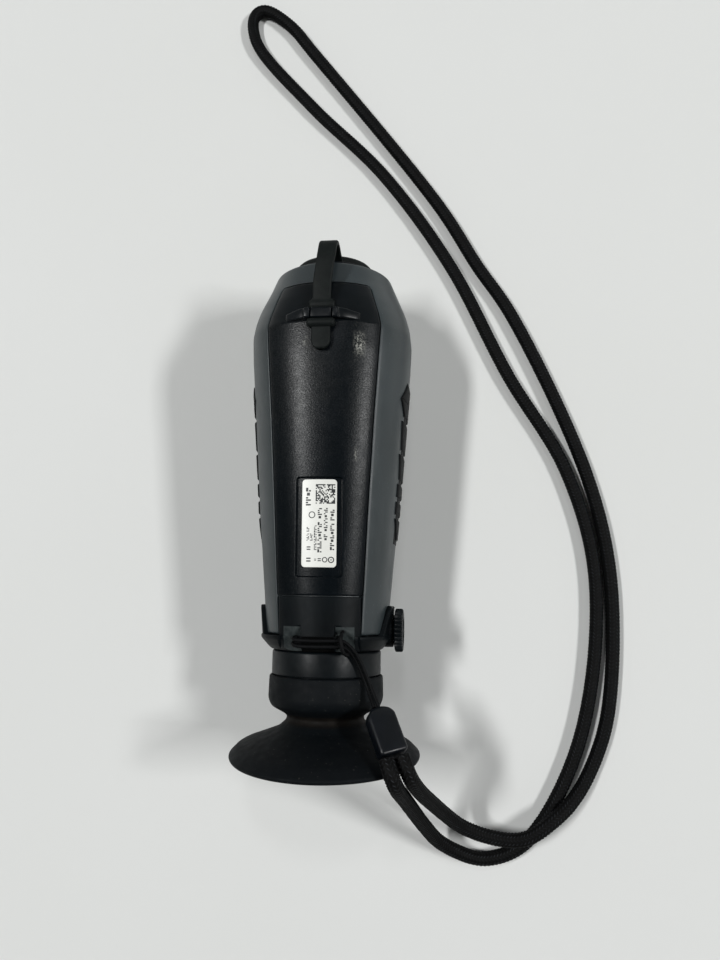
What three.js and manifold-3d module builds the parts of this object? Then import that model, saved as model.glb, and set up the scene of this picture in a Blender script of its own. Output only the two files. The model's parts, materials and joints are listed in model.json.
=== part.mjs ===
// A hand-held thermal monocular lying on its button side, underside up, with its wrist lanyard.
// Millimetres. +X is the focus-knob side, +Y points to the objective lens, +Z points up.
// Inside the file a place along the camera is its station s, measured from the rear seam of the
// bottom panel; the whole camera is moved along Y at the end so that its middle is at Y = 0.

import * as THREE from "three";
import { mergeVertices } from "three/addons/utils/BufferGeometryUtils.js";
import Module from "manifold-3d";

const wasm = await Module();
wasm.setup();

// ---------------------------------------------------------------- driving dimensions

const AXIS_Z = 32.7; // height of the optical axis above the table
const MIDDLE_S = 33.8; // station halfway between the cap strap and the rim of the eyecup
const WALL = 2.2; // wall of the shell and of the panels
const GAP = 0.3; // between neighbours that do not move
const RUN = 0.1; // running clearance of shafts and slides
const LEDGE = 1; // thickness of the rebate that carries each panel under the shell
const RING_POINTS = 40; // points round one section of the body
const ROUND = 32; // facets of a large round part
const KEY_ROUND = 24; // facets of a key or a lens
const SMALL_ROUND = 16; // facets of a small round part

const SHELL_REAR = -12.4;
const SHELL_FRONT = 120;
const PANEL_FRONT = 108.4;
const PANEL_REAR = 0.6;
const TOP_PANEL_FRONT = 104;
const TOP_PANEL_REAR = 13;
const COLLAR_REAR = -17.8;
const COLLAR_FRONT = -12.7;

// Sections of the body: station, half width, rise to the underside, depth to the button side,
// and squareness (2 is an ellipse, more is squarer).
const BODY = [
  { s: -14, half: 21.3, under: 22.4, top: 22.6, square: 2.3 },
  { s: 0, half: 22.4, under: 23.1, top: 23.8, square: 2.4 },
  { s: 29, half: 24.9, under: 24.8, top: 26.8, square: 2.5 },
  { s: 61.5, half: 27.3, under: 26.6, top: 30.4, square: 2.6 },
  { s: 85, half: 29.1, under: 27.9, top: 33.2, square: 2.7 },
  { s: 93.8, half: 29.5, under: 28.2, top: 34.2, square: 2.7 },
  { s: 99, half: 29.2, under: 27, top: 33.4, square: 2.6 },
  { s: 104, half: 28.1, under: 25.8, top: 31.4, square: 2.5 },
  { s: 112, half: 24.9, under: 23.7, top: 27, square: 2.3 },
  { s: 117.5, half: 22.5, under: 22.2, top: 23.4, square: 2.1 },
  { s: 120, half: 20.9, under: 20.9, top: 20.9, square: 2 },
];

// The collar behind the body, from its round rear edge to the step where the shell ends.
const COLLAR = [
  { s: COLLAR_REAR, half: 19.6, under: 19.6, top: 19.6, square: 2 },
  { s: -16.4, half: 21, under: 20.9, top: 21, square: 2.1 },
  { s: -13.8, half: 23, under: 22.4, top: 22.8, square: 2.3 },
  { s: COLLAR_FRONT, half: 23, under: 22.45, top: 22.9, square: 2.3 },
];

// Half widths of the black panel on the underside and of the one on the button side.
const PANEL_PLAN = [
  { s: -14, half: 14 },
  { s: 29, half: 16 },
  { s: 61.5, half: 17.4 },
  { s: 93.8, half: 19.2 },
  { s: 98, half: 18.4 },
  { s: PANEL_FRONT, half: 14.8 },
];
const TOP_PANEL_PLAN = [
  { s: TOP_PANEL_REAR, half: 8 },
  { s: TOP_PANEL_REAR + 4, half: 11 },
  { s: 60, half: 13 },
  { s: 95, half: 14 },
  { s: 100, half: 12 },
  { s: TOP_PANEL_FRONT, half: 8 },
];

const FINISHES = {
  slateShell: { color: 0x45535a, roughness: 0.62, metalness: 0 },
  grainedPanel: { color: 0x17191a, roughness: 0.48, metalness: 0 },
  satinBlack: { color: 0x23292b, roughness: 0.5, metalness: 0 },
  rubber: { color: 0x1d2021, roughness: 0.85, metalness: 0 },
  strapRubber: { color: 0x20261f, roughness: 0.8, metalness: 0 },
  glossBlack: { color: 0x10141a, roughness: 0.3, metalness: 0 },
  blackMetal: { color: 0x1b1c1e, roughness: 0.4, metalness: 0.8 },
  castAlloy: { color: 0x9a9da0, roughness: 0.5, metalness: 0.9 },
  steel: { color: 0xb4b6b8, roughness: 0.3, metalness: 1 },
  brass: { color: 0xb08d4a, roughness: 0.35, metalness: 1 },
  germanium: { color: 0x5a5560, roughness: 0.15, metalness: 0.7 },
  glass: { color: 0xc9d6da, roughness: 0.05, metalness: 0 },
  board: { color: 0x1d4a34, roughness: 0.55, metalness: 0 },
  wrap: { color: 0x2c5f9e, roughness: 0.4, metalness: 0 },
  label: { color: 0xe6e7e4, roughness: 0.45, metalness: 0 },
  braid: { color: 0x121314, roughness: 0.9, metalness: 0 },
};

// ---------------------------------------------------------------- scene graph

const camera = new THREE.Group();
camera.position.y = -MIDDLE_S;
const onAxis = new THREE.Group(); // heights measured from the optical axis
onAxis.position.z = AXIS_Z;
const onTable = new THREE.Group(); // heights measured from the table
camera.add(onAxis, onTable);

function add(name, shape, finish, group = onAxis) {
  const geometry = shape.isBufferGeometry ? shape : geometryOf(shape);
  geometry.computeVertexNormals();
  const mesh = new THREE.Mesh(geometry, new THREE.MeshStandardMaterial(FINISHES[finish]));
  mesh.name = name;
  group.add(mesh);
}

// ---------------------------------------------------------------- solids from three.js geometry

// A closed three.js geometry as a manifold-3d solid.
function solid(geometry) {
  const bare = geometry.clone();
  bare.deleteAttribute("normal");
  bare.deleteAttribute("uv");
  const merged = mergeVertices(bare, 1e-4);
  const corners = [];
  for (let i = 0; i < merged.index.count; i += 3) {
    const [a, b, c] = merged.index.array.slice(i, i + 3);
    if (a !== b && b !== c && c !== a) corners.push(a, b, c);
  }
  const vertProperties = merged.attributes.position.array;
  const triVerts = new Uint32Array(corners);
  return new wasm.Manifold(new wasm.Mesh({ numProp: 3, vertProperties, triVerts }));
}

function geometryOf(made) {
  const mesh = made.getMesh();
  const geometry = new THREE.BufferGeometry();
  geometry.setAttribute("position", new THREE.BufferAttribute(mesh.vertProperties, 3));
  geometry.setIndex(new THREE.BufferAttribute(mesh.triVerts, 1));
  return geometry.toNonIndexed();
}

const join = (first, ...others) => others.reduce((whole, piece) => whole.add(piece), first);
const cut = (first, ...tools) => tools.reduce((whole, tool) => whole.subtract(tool), first);

// A box between two corners.
function box([x0, s0, z0], [x1, s1, z1]) {
  const shape = new THREE.BoxGeometry(x1 - x0, s1 - s0, z1 - z0);
  return solid(shape.translate((x0 + x1) / 2, (s0 + s1) / 2, (z0 + z1) / 2));
}

// Round bars along each axis, given by radius, the two ends and the place of the centre line.
function rodY(radius, s0, s1, x = 0, z = 0, facets = SMALL_ROUND) {
  const shape = new THREE.CylinderGeometry(radius, radius, s1 - s0, facets);
  return solid(shape.translate(x, (s0 + s1) / 2, z));
}

function rodX(radius, x0, x1, s = 0, z = 0, facets = SMALL_ROUND) {
  const shape = new THREE.CylinderGeometry(radius, radius, x1 - x0, facets);
  return solid(shape.rotateZ(-Math.PI / 2).translate((x0 + x1) / 2, s, z));
}

function rodZ(radius, z0, z1, x = 0, s = 0, facets = SMALL_ROUND) {
  const shape = new THREE.CylinderGeometry(radius, radius, z1 - z0, facets);
  return solid(shape.rotateX(Math.PI / 2).translate(x, s, (z0 + z1) / 2));
}

// Twice the signed area of an outline; it tells which way round the outline runs.
function turning(outline) {
  return outline.reduce((sum, [x, y], i) => {
    const [nextX, nextY] = outline[(i + 1) % outline.length];
    return sum + x * nextY - nextX * y;
  }, 0);
}

// A profile of [radius, s] pairs turned round the optical axis. It closes on itself or on the axis.
function lathe(profile, facets = ROUND) {
  const onAxisEnds = profile[0][0] === 0;
  const ordered = turning(profile) > 0 ? [...profile] : [...profile].reverse();
  if (!onAxisEnds) ordered.push(ordered[0]);
  const points = ordered.map(([radius, s]) => new THREE.Vector2(radius, s));
  return new THREE.LatheGeometry(points, facets);
}

const tube = (outer, inner, s0, s1, facets = ROUND) =>
  solid(
    lathe(
      [
        [inner, s0],
        [outer, s0],
        [outer, s1],
        [inner, s1],
      ],
      facets,
    ),
  );

function extrude(outline, depth) {
  const shape = new THREE.Shape(outline.map(([x, y]) => new THREE.Vector2(x, y)));
  return new THREE.ExtrudeGeometry(shape, { depth, bevelEnabled: false });
}

// An outline of [x, s] pairs extruded upwards.
function prismZ(outline, z0, z1) {
  return solid(extrude(outline, z1 - z0).translate(0, 0, z0));
}

// An outline of [s, z] pairs extruded along X.
function prismX(outline, x0, x1) {
  const toX = new THREE.Matrix4().makeBasis(
    new THREE.Vector3(0, 1, 0),
    new THREE.Vector3(0, 0, 1),
    new THREE.Vector3(1, 0, 0),
  );
  return solid(extrude(outline, x1 - x0).applyMatrix4(toX).translate(x0, 0, 0));
}

// An outline of [x, z] pairs extruded along the camera.
function prismY(outline, s0, s1) {
  return solid(extrude(outline, s1 - s0).rotateX(Math.PI / 2).translate(0, s1, 0));
}

// ---------------------------------------------------------------- the lofted body

function between(table, s) {
  const last = table.length - 1;
  const next = Math.min(Math.max(table.findIndex((row) => row.s >= s), 1), last);
  const [a, b] = s > table[last].s ? [table[last], table[last]] : [table[next - 1], table[next]];
  const share = a === b ? 0 : THREE.MathUtils.clamp((s - a.s) / (b.s - a.s), 0, 1);
  const mixed = { s };
  for (const key of Object.keys(a)) {
    if (key !== "s") mixed[key] = THREE.MathUtils.lerp(a[key], b[key], share);
  }
  return mixed;
}

const bulge = (value, power) => Math.sign(value) * Math.abs(value) ** power;

// One ring of the body's surface, moved out by grow; the button side is flattened by the table.
function ring(table, s, grow) {
  const section = between(table, s);
  const points = [];
  for (let i = 0; i < RING_POINTS; i += 1) {
    const angle = (2 * Math.PI * i) / RING_POINTS;
    const rise = Math.sin(angle) > 0 ? section.under : section.top;
    const x = (section.half + grow) * bulge(Math.cos(angle), 2 / section.square);
    const z = (rise + grow) * bulge(Math.sin(angle), 2 / section.square);
    points.push([x, s, Math.max(z, -AXIS_Z - grow)]);
  }
  return points;
}

// The solid inside the body's surface between two stations.
function loft(table, from, to, grow = 0) {
  const inner = table.map((row) => row.s).filter((s) => s > from && s < to);
  const stations = [from, ...inner, to];
  const positions = stations.flatMap((s) => ring(table, s, grow)).flat();
  const rear = stations.length * RING_POINTS;
  const front = rear + 1;
  positions.push(0, from, 0, 0, to, 0);
  const faces = [];
  for (let i = 0; i < RING_POINTS; i += 1) {
    const next = (i + 1) % RING_POINTS;
    for (let row = 0; row < stations.length - 1; row += 1) {
      const a = row * RING_POINTS + i;
      const b = row * RING_POINTS + next;
      faces.push(a, a + RING_POINTS, b, b, a + RING_POINTS, b + RING_POINTS);
    }
    const lastRow = (stations.length - 1) * RING_POINTS;
    faces.push(rear, i, next, front, lastRow + next, lastRow + i);
  }
  const geometry = new THREE.BufferGeometry();
  geometry.setAttribute("position", new THREE.Float32BufferAttribute(positions, 3));
  geometry.setIndex(faces);
  return solid(geometry);
}

// The layer of the body between two offsets of its surface.
function layer(table, from, to, outside, inside) {
  return loft(table, from, to, outside).subtract(loft(table, from - 1, to + 1, inside));
}

// The plan outline of a panel between two stations, widened by grow all round.
function plan(table, from, to, grow = 0) {
  const inner = table.map((row) => row.s).filter((s) => s > from && s < to);
  const stations = [from, ...inner, to];
  const right = stations.map((s) => [between(table, s).half + grow, s]);
  right[0][1] -= grow;
  right[right.length - 1][1] += grow;
  const left = right.map(([x, s]) => [-x, s]).reverse();
  return [...right, ...left];
}

const underHeight = (s) => between(BODY, s).under;
const topDepth = (s) => between(BODY, s).top;
const FAR = 60; // beyond every surface of the body

// ---------------------------------------------------------------- side grips

// Each outline is [s, half height] pairs of one raised pad; the first and last are wedges.
const GRIP_BASE = { rear: 19, front: 80, half: 6 };
const GRIP_PADS = [
  { rear: 20.5, front: 28, rearHalf: 2.5, frontHalf: 8 },
  { rear: 29.4, front: 34, rearHalf: 8, frontHalf: 8 },
  { rear: 35.6, front: 40.4, rearHalf: 8, frontHalf: 8 },
  { rear: 42, front: 51, rearHalf: 7, frontHalf: 9 },
  { rear: 52.6, front: 63, rearHalf: 7, frontHalf: 9.5 },
  { rear: 64.8, front: 73, rearHalf: 7, frontHalf: 13 },
  { rear: 73, front: 79, rearHalf: 13, frontHalf: 6.5 },
];
const GRIP_SINK = 0.9; // how deep the grip is let into the shell
const GRIP_PROUD = 0.9; // how far the pads stand out of it

function gripOutline(grow = 0) {
  const side = (sign) => [
    [GRIP_BASE.rear - grow, sign * (GRIP_BASE.half - 2 + grow)],
    [GRIP_BASE.rear + 2, sign * (GRIP_BASE.half + grow)],
    [GRIP_BASE.front - 2, sign * (GRIP_BASE.half + grow)],
    [GRIP_BASE.front + grow, sign * (GRIP_BASE.half - 2 + grow)],
  ];
  return [...side(-1), ...side(1).reverse()];
}

function padOutline(pad, grow = 0) {
  return [
    [pad.rear - grow, -pad.rearHalf - grow],
    [pad.front + grow, -pad.frontHalf - grow],
    [pad.front + grow, pad.frontHalf + grow],
    [pad.rear - grow, pad.rearHalf + grow],
  ];
}

function gripPrism(grow, side) {
  const [x0, x1] = side > 0 ? [10, FAR] : [-FAR, -10];
  const prisms = [gripOutline(grow), ...GRIP_PADS.map((pad) => padOutline(pad, grow))];
  return join(...prisms.map((outline) => prismX(outline, x0, x1)));
}

function gripRecess(side) {
  const skin = layer(BODY, GRIP_BASE.rear - 4, GRIP_BASE.front + 4, 2, -GRIP_SINK - GAP);
  return skin.intersect(gripPrism(GAP, side));
}

function sideGrip(side) {
  const [x0, x1] = side > 0 ? [10, FAR] : [-FAR, -10];
  const from = GRIP_BASE.rear - 1;
  const to = GRIP_BASE.front + 1;
  const base = layer(BODY, from, to, -0.1, -GRIP_SINK).intersect(gripPrism(0, side));
  const skin = layer(BODY, from, to, GRIP_PROUD, -GRIP_SINK);
  const pads = GRIP_PADS.map((pad) => skin.intersect(prismX(padOutline(pad), x0, x1)));
  return join(base, ...pads);
}

// ---------------------------------------------------------------- shell and panels

const KNOB = { s: -11, inner: 24.2, outer: 27.2, radius: 7.5, teeth: 32, toothDepth: 0.5 };
const BUSHING = { radius: 2.9, bore: 1.6, inner: 17.5, outer: 23.6 };
const PORT = { s: -8, halfLength: 3.8, halfHeight: 1.6 };
const BEZEL = { outer: 17.3, inner: 14.9, rear: 113.6, front: 120.5 };
const CAVITY_FRONT = 113;

function knobSlot(radius) {
  const slot = box([12, SHELL_REAR - 2, -radius], [FAR, KNOB.s, radius]);
  return slot.add(rodX(radius, 12, FAR, KNOB.s));
}

function armourShell() {
  const hull = loft(BODY, SHELL_REAR, SHELL_FRONT);
  const cavity = loft(BODY, SHELL_REAR - 1, CAVITY_FRONT, -WALL);
  const mouth = rodY(BEZEL.outer + GAP, CAVITY_FRONT - 1, SHELL_FRONT + 1, 0, 0, ROUND);
  const panelHole = prismZ(plan(PANEL_PLAN, -14, PANEL_FRONT, GAP), 8, FAR);
  const topHole = prismZ(plan(TOP_PANEL_PLAN, TOP_PANEL_REAR, TOP_PANEL_FRONT, GAP), -FAR, -8);
  const portHole = box(
    [-FAR, PORT.s - PORT.halfLength - GAP, -PORT.halfHeight - GAP],
    [-12, PORT.s + PORT.halfLength + GAP, PORT.halfHeight + GAP],
  );
  const holes = [cavity, mouth, panelHole, topHole, portHole, knobSlot(BUSHING.radius + 0.5)];
  return cut(hull, ...holes, gripRecess(1), gripRecess(-1));
}

const LABEL = { rear: 10.3, front: 39.6, half: 5.9, thickness: 0.25 };
const RECESS = { rear: 7.2, front: 40.2, half: 7.55, depth: 0.9 };
const BRIDGE = { rear: 94.2, front: 97.5, floor: 27.2, ceiling: 28.9, crest: 30.4 };
const BRIDGE_HALVES = { slot: 3.6, post: 6.1, wing: 13 };

// A box whose faces follow the slope of the panel's crown between the ends of the label recess.
function onRecessSlope(half, rear, front, low, high) {
  const slope = (underHeight(RECESS.front) - underHeight(RECESS.rear)) / (RECESS.front - RECESS.rear);
  const middle = (rear + front) / 2;
  const crown = underHeight(RECESS.rear) + slope * (middle - RECESS.rear);
  const shape = new THREE.BoxGeometry(2 * half, front - rear, high - low);
  shape.translate(0, 0, (low + high) / 2).rotateX(Math.atan(slope));
  return solid(shape.translate(0, middle, crown - RECESS.depth));
}

function strapBridge() {
  const { slot, post, wing } = BRIDGE_HALVES;
  const edge = BRIDGE.crest - 4;
  const low = edge - 1.5;
  const outline = [
    [-wing, low],
    [wing, low],
    [wing, edge],
    [post, BRIDGE.crest],
    [-post, BRIDGE.crest],
    [-wing, edge],
  ];
  const rib = prismY(outline, BRIDGE.rear, BRIDGE.front);
  return { rib, slot: box([-slot, 90.5, BRIDGE.floor], [slot, 101, BRIDGE.ceiling]) };
}

function panelBody(from, to, outline, ledgeOutline) {
  const skin = layer(BODY, from - 2, to + 2, 0, -WALL).intersect(outline);
  const ledge = layer(BODY, from - 2, to + 2, -WALL - GAP, -WALL - GAP - LEDGE);
  const seat = layer(BODY, from - 2, to + 2, -WALL + 0.2, -WALL - GAP - LEDGE);
  return join(skin, seat.intersect(outline), ledge.intersect(ledgeOutline));
}

const LEDGE_REACH = 1.6; // how far each panel's rebate reaches under the shell

function bottomPanel() {
  const outline = prismZ(plan(PANEL_PLAN, PANEL_REAR, PANEL_FRONT), 8, FAR);
  const ledgePlan = plan(PANEL_PLAN, PANEL_REAR + LEDGE_REACH, PANEL_FRONT, LEDGE_REACH);
  const body = panelBody(PANEL_REAR, PANEL_FRONT, outline, prismZ(ledgePlan, 8, FAR));
  const bridge = strapBridge();
  const recess = onRecessSlope(RECESS.half, RECESS.rear, RECESS.front, 0, 4);
  return cut(body.add(bridge.rib), bridge.slot, recess);
}

const BUTTON_STATIONS = { brightness: 22, palette: 34, capture: 46, power: 60 };
const BUTTON = { radius: 4.6, proud: 0.9, stem: 1.6, travel: 0.8 };
const KEYPAD = { low: -18.6, high: -17.6, half: 8, dome: 2.2, domeHeight: 0.7 };

function topPanel() {
  const rear = TOP_PANEL_REAR;
  const front = TOP_PANEL_FRONT;
  const outline = prismZ(plan(TOP_PANEL_PLAN, rear, front), -FAR, -8);
  const ledgeOutline = prismZ(plan(TOP_PANEL_PLAN, rear, front, LEDGE_REACH), -FAR, -8);
  const body = panelBody(rear, front, outline, ledgeOutline);
  const holes = Object.values(BUTTON_STATIONS).map((s) =>
    rodZ(BUTTON.radius + GAP, -FAR, -15, 0, s, KEY_ROUND),
  );
  return cut(body, ...holes);
}

// A rubber key: a domed cap in its hole, a retaining flange inside and a stem above the switch.
function button(s) {
  const face = -topDepth(s) - BUTTON.proud;
  const flange = -topDepth(s) + WALL + LEDGE + 1.4;
  const cap = rodZ(BUTTON.radius, face + 0.5, flange + 0.6, 0, s, KEY_ROUND);
  const crown = rodZ(BUTTON.radius - 0.6, face, face + 0.6, 0, s, KEY_ROUND);
  const rim = rodZ(BUTTON.radius + 1.2, flange, flange + 0.8, 0, s, KEY_ROUND);
  const tip = KEYPAD.low - KEYPAD.domeHeight - BUTTON.travel - RUN;
  return join(cap, crown, rim, rodZ(BUTTON.stem, flange, tip, 0, s));
}

// ---------------------------------------------------------------- rear collar

const POCKET = { near: 5.7, far: 12.1, front: -9.2, floor: 17.9 };
const TUNNEL = { rear: -15.9, front: -12, ceiling: 20 };
const TONGUE_STEP = { s: -12.7, height: 21.2 };
const SPIGOT = 16.6; // radius of the eyepiece barrel's spigot in the collar

// Side view of an ear, as [s, z] pairs.
function earOutline(baseHalf, tipHalf) {
  const base = COLLAR_FRONT - 0.6;
  return [
    [base, -baseHalf],
    [-4, -tipHalf],
    [-2.6, -tipHalf + 2],
    [-2.6, tipHalf - 2],
    [-4, tipHalf],
    [base, baseHalf],
  ];
}

function ear(side, thickness) {
  const [x0, x1] = side > 0 ? [10, FAR] : [-FAR, -10];
  return layer(BODY, -14, -2, thickness, GAP).intersect(prismX(earOutline(10, 6.5), x0, x1));
}

function lanyardCuts() {
  const pockets = [-1, 1].map((side) => {
    const [near, far] = [side * POCKET.near, side * POCKET.far];
    return box(
      [Math.min(near, far), COLLAR_REAR - 1, POCKET.floor],
      [Math.max(near, far), POCKET.front, FAR],
    );
  });
  const reach = POCKET.near + 1;
  const tunnel = box([-reach, TUNNEL.rear, POCKET.floor], [reach, TUNNEL.front, TUNNEL.ceiling]);
  const step = box([-reach, COLLAR_REAR - 1, TONGUE_STEP.height], [reach, TONGUE_STEP.s, FAR]);
  return [...pockets, tunnel, step];
}

function rearCollar() {
  const hoop = loft(COLLAR, COLLAR_REAR, COLLAR_FRONT);
  const apronRear = COLLAR_FRONT - 0.5;
  const apronPlan = prismZ(plan(PANEL_PLAN, apronRear, PANEL_REAR - GAP), 8, FAR);
  const apron = layer(BODY, apronRear, PANEL_REAR - GAP, 0, -WALL - 1.5).intersect(apronPlan);
  const boss = rodX(BUSHING.radius + 3, 22.6, BUSHING.outer + 0.2, KNOB.s);
  const bore = rodY(SPIGOT + GAP, COLLAR_REAR - 1, 2, 0, 0, ROUND);
  const window = box(
    [-FAR, PORT_COVER.rear - GAP, -PORT_COVER.half - GAP],
    [-15, PORT_COVER.front + GAP, PORT_COVER.half + GAP],
  );
  const bushingHole = rodX(BUSHING.radius + GAP, 12, FAR, KNOB.s);
  const whole = join(hoop, apron, ear(1, 1.7), ear(-1, 1.5), boss);
  return cut(whole, bore, window, bushingHole, ...lanyardCuts());
}

const PORT_COVER = { rear: -12, front: -4.3, half: 3.4, inside: 0.5, outside: 1.5 };

function portCover() {
  const { rear, front, half, inside, outside } = PORT_COVER;
  const skin = layer(BODY, rear - 1, front + 1, outside, inside);
  const outline = box([-FAR, rear, -half], [-15, front, half]);
  return skin.intersect(outline);
}

// ---------------------------------------------------------------- eyepiece and focus drive

const BARREL = { radius: 19.2, bore: 14.7, seam: -26.3, rear: -34.5, neck: 17.6, front: -13.4 };

function eyepieceBarrel() {
  return lathe([
    [BARREL.bore, BARREL.rear],
    [BARREL.neck, BARREL.rear],
    [BARREL.neck, BARREL.seam],
    [BARREL.radius, BARREL.seam],
    [BARREL.radius, COLLAR_REAR - GAP],
    [SPIGOT, COLLAR_REAR - GAP],
    [SPIGOT, BARREL.front],
    [BARREL.bore, BARREL.front],
  ]);
}

const CARRIER = { radius: BARREL.bore - RUN, bore: 12.6, rear: -32, front: -15.4, groove: -28 };
const GEAR = { teeth: 8, pitch: 1.6, addendum: 0.35, dedendum: 0.5, x0: 10.8, x1: 13.6 };
const RACK = { rear: -16.4, front: -4.6, low: -5, x0: 11.2, x1: 13.2 };
const TOOTH_PITCH = (2 * Math.PI * GEAR.pitch) / GEAR.teeth;

// The rack's side view: a toothed edge whose gap is centred under the pinion at rest.
function rackOutline() {
  const crest = -GEAR.pitch + GEAR.addendum;
  const root = -GEAR.pitch - GEAR.dedendum;
  const outline = [
    [RACK.front, RACK.low],
    [RACK.front, root],
  ];
  for (let k = 4; k >= -4; k -= 1) {
    const middle = KNOB.s + (k + 0.5) * TOOTH_PITCH;
    outline.push([middle + 0.42, root], [middle + 0.13, crest]);
    outline.push([middle - 0.13, crest], [middle - 0.42, root]);
  }
  outline.push([RACK.rear, root], [RACK.rear, RACK.low]);
  return outline;
}

function lensCarrier() {
  const { radius, bore, rear, front, groove } = CARRIER;
  const sleeve = solid(
    lathe([
      [bore, rear],
      [radius, rear],
      [radius, groove - 0.8],
      [radius - 1, groove - 0.8],
      [radius - 1, groove + 0.8],
      [radius, groove + 0.8],
      [radius, front],
      [bore, front],
    ]),
  );
  return sleeve.add(prismX(rackOutline(), RACK.x0, RACK.x1));
}

// The pinion's end view as [s, z] pairs round the knob's axis, with one tooth pointing down.
function pinionOutline() {
  const outline = [];
  const root = GEAR.pitch - GEAR.dedendum;
  const tip = GEAR.pitch + GEAR.addendum;
  for (let k = 0; k < GEAR.teeth; k += 1) {
    const middle = -Math.PI / 2 + (2 * Math.PI * k) / GEAR.teeth;
    for (const [turn, radius] of [[-0.3, root], [-0.09, tip], [0.09, tip], [0.3, root]]) {
      const angle = middle + turn;
      outline.push([KNOB.s + radius * Math.cos(angle), radius * Math.sin(angle)]);
    }
  }
  return outline;
}

function focusShaft() {
  const shaft = rodX(BUSHING.bore - RUN, GEAR.x1 - 0.2, KNOB.outer - 1.2, KNOB.s, 0, 32);
  return shaft.add(prismX(pinionOutline(), GEAR.x0, GEAR.x1));
}

function focusKnob() {
  const outline = [];
  for (let k = 0; k < KNOB.teeth; k += 1) {
    const middle = (2 * Math.PI * k) / KNOB.teeth;
    const valley = middle + Math.PI / KNOB.teeth;
    const inner = KNOB.radius - KNOB.toothDepth;
    for (const [angle, radius] of [[middle, KNOB.radius], [valley, inner]]) {
      outline.push([KNOB.s + radius * Math.cos(angle), radius * Math.sin(angle)]);
    }
  }
  const bevel = new THREE.CylinderGeometry(KNOB.radius - 0.9, KNOB.radius + 0.9, 1.8, ROUND);
  const caps = [
    solid(bevel.clone().rotateZ(-Math.PI / 2).translate(KNOB.outer - 0.9, KNOB.s, 0)),
    solid(bevel.clone().rotateZ(Math.PI / 2).translate(KNOB.inner + 0.9, KNOB.s, 0)),
  ];
  const dish = rodX(4.6, KNOB.outer - 0.5, KNOB.outer + 1, KNOB.s, 0, ROUND);
  const bore = rodX(BUSHING.bore - RUN + 0.06, KNOB.inner - 1, KNOB.outer - 1.1, KNOB.s, 0, 32);
  const drum = prismX(outline, KNOB.inner, KNOB.outer).intersect(join(...caps));
  return cut(drum, dish, bore);
}

function knobBushing() {
  const sleeve = rodX(BUSHING.radius, BUSHING.inner, BUSHING.outer, KNOB.s, 0, 32);
  return sleeve.subtract(rodX(BUSHING.bore, BUSHING.inner - 1, BUSHING.outer + 1, KNOB.s, 0, 32));
}

// A lens with two curved faces: radius, middle station, edge thickness and sag of each face.
function lens(radius, middle, edge, rearSag, frontSag) {
  const profile = [];
  const steps = 3;
  for (let i = 0; i <= steps; i += 1) {
    const share = i / steps;
    profile.push([radius * share, middle - edge / 2 - rearSag * (1 - share * share)]);
  }
  for (let i = steps; i >= 0; i -= 1) {
    const share = i / steps;
    profile.push([radius * share, middle + edge / 2 + frontSag * (1 - share * share)]);
  }
  return lathe(profile, KEY_ROUND);
}

// ---------------------------------------------------------------- eyecup

const RIM = { radius: 33.3, s: -53.2 };
const LEAN = 0.075; // how far the soft flare leans back for each millimetre of height

// The eyecup's half section: the sleeve on the barrel, the waist and the flare with its rolled lip.
const EYECUP_PROFILE = [
  [17.9, -26.6],
  [20, -26.6],
  [20.2, -34.6],
  [19.2, -37.1],
  [14.6, -39.6],
  [13.4, -40.8],
  [13.8, -42.2],
  [16.6, -44.7],
  [24.6, -48],
  [30.6, -50.5],
  [RIM.radius, RIM.s],
  [RIM.radius - 0.8, RIM.s - 1.5],
  [30.6, -53.9],
  [24.6, -50.2],
  [16.4, -46.3],
  [12.6, -42.8],
  [11.7, -40.4],
  [11.7, -35],
  [17.9, -35],
];

function eyecup() {
  const geometry = lathe(EYECUP_PROFILE, RING_POINTS);
  const position = geometry.attributes.position;
  for (let i = 0; i < position.count; i += 1) {
    const [x, s, z] = [position.getX(i), position.getY(i), position.getZ(i)];
    const reach = THREE.MathUtils.clamp((Math.hypot(x, z) - 14) / (RIM.radius - 14), 0, 1);
    if (s < -41) position.setY(i, s - LEAN * z * reach);
  }
  const tableTop = box([-FAR, -FAR - 20, -FAR], [FAR, 0, -AXIS_Z]);
  return solid(geometry).subtract(tableTop);
}

// ---------------------------------------------------------------- objective and sensor

const OBJECTIVE = { rear: 100, front: 116.8, outer: 14.2, inner: 12.7 };

function objectiveBarrel() {
  const { rear, front, outer, inner } = OBJECTIVE;
  return lathe([
    [inner, rear],
    [18.6, rear],
    [18.6, rear + 2],
    [outer, rear + 2],
    [outer, 113.4],
    [outer - 0.8, 113.4],
    [outer - 0.8, 114.8],
    [outer, 114.8],
    [outer, front],
    [inner, front],
  ]);
}

function lensCap() {
  return lathe([
    [0, 117.2],
    [13.4, 117.2],
    [14.6, 118.2],
    [14.6, 123.3],
    [13.9, 124.1],
    [10, 124.3],
    [9.6, 123.7],
    [0, 123.7],
  ]);
}

const SHUTTER = { pivotX: 15.4, s0: 97.6, s1: 98.2, radius: 10.6 };

function shutterBlade() {
  const { pivotX, s0, s1, radius } = SHUTTER;
  const leaf = rodY(radius, s0, s1, 0, 0, 32);
  const arm = box([6, s0, -2.2], [pivotX, s1, 2.2]);
  const eye = rodY(2.4, s0, s1 + 0.4, pivotX);
  return join(leaf, arm, eye).subtract(rodY(0.9, s0 - 1, s1 + 2, pivotX));
}

function shutterMotor() {
  const can = rodY(3.6, 88, 97, SHUTTER.pivotX, 0, 24);
  return can.add(rodY(0.8, 96.5, 99.4, SHUTTER.pivotX));
}

function sensorCore() {
  const block = box([-11, 84.4, -11], [11, 94.6, 11]);
  const snout = rodY(9.4, 94, 96.8, 0, 0, 32);
  const window = rodY(7.2, 96, 97.5, 0, 0, 32);
  const socket = box([-6, 82.6, -3], [6, 84.6, 3]);
  return join(block, snout, socket).subtract(window);
}

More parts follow.
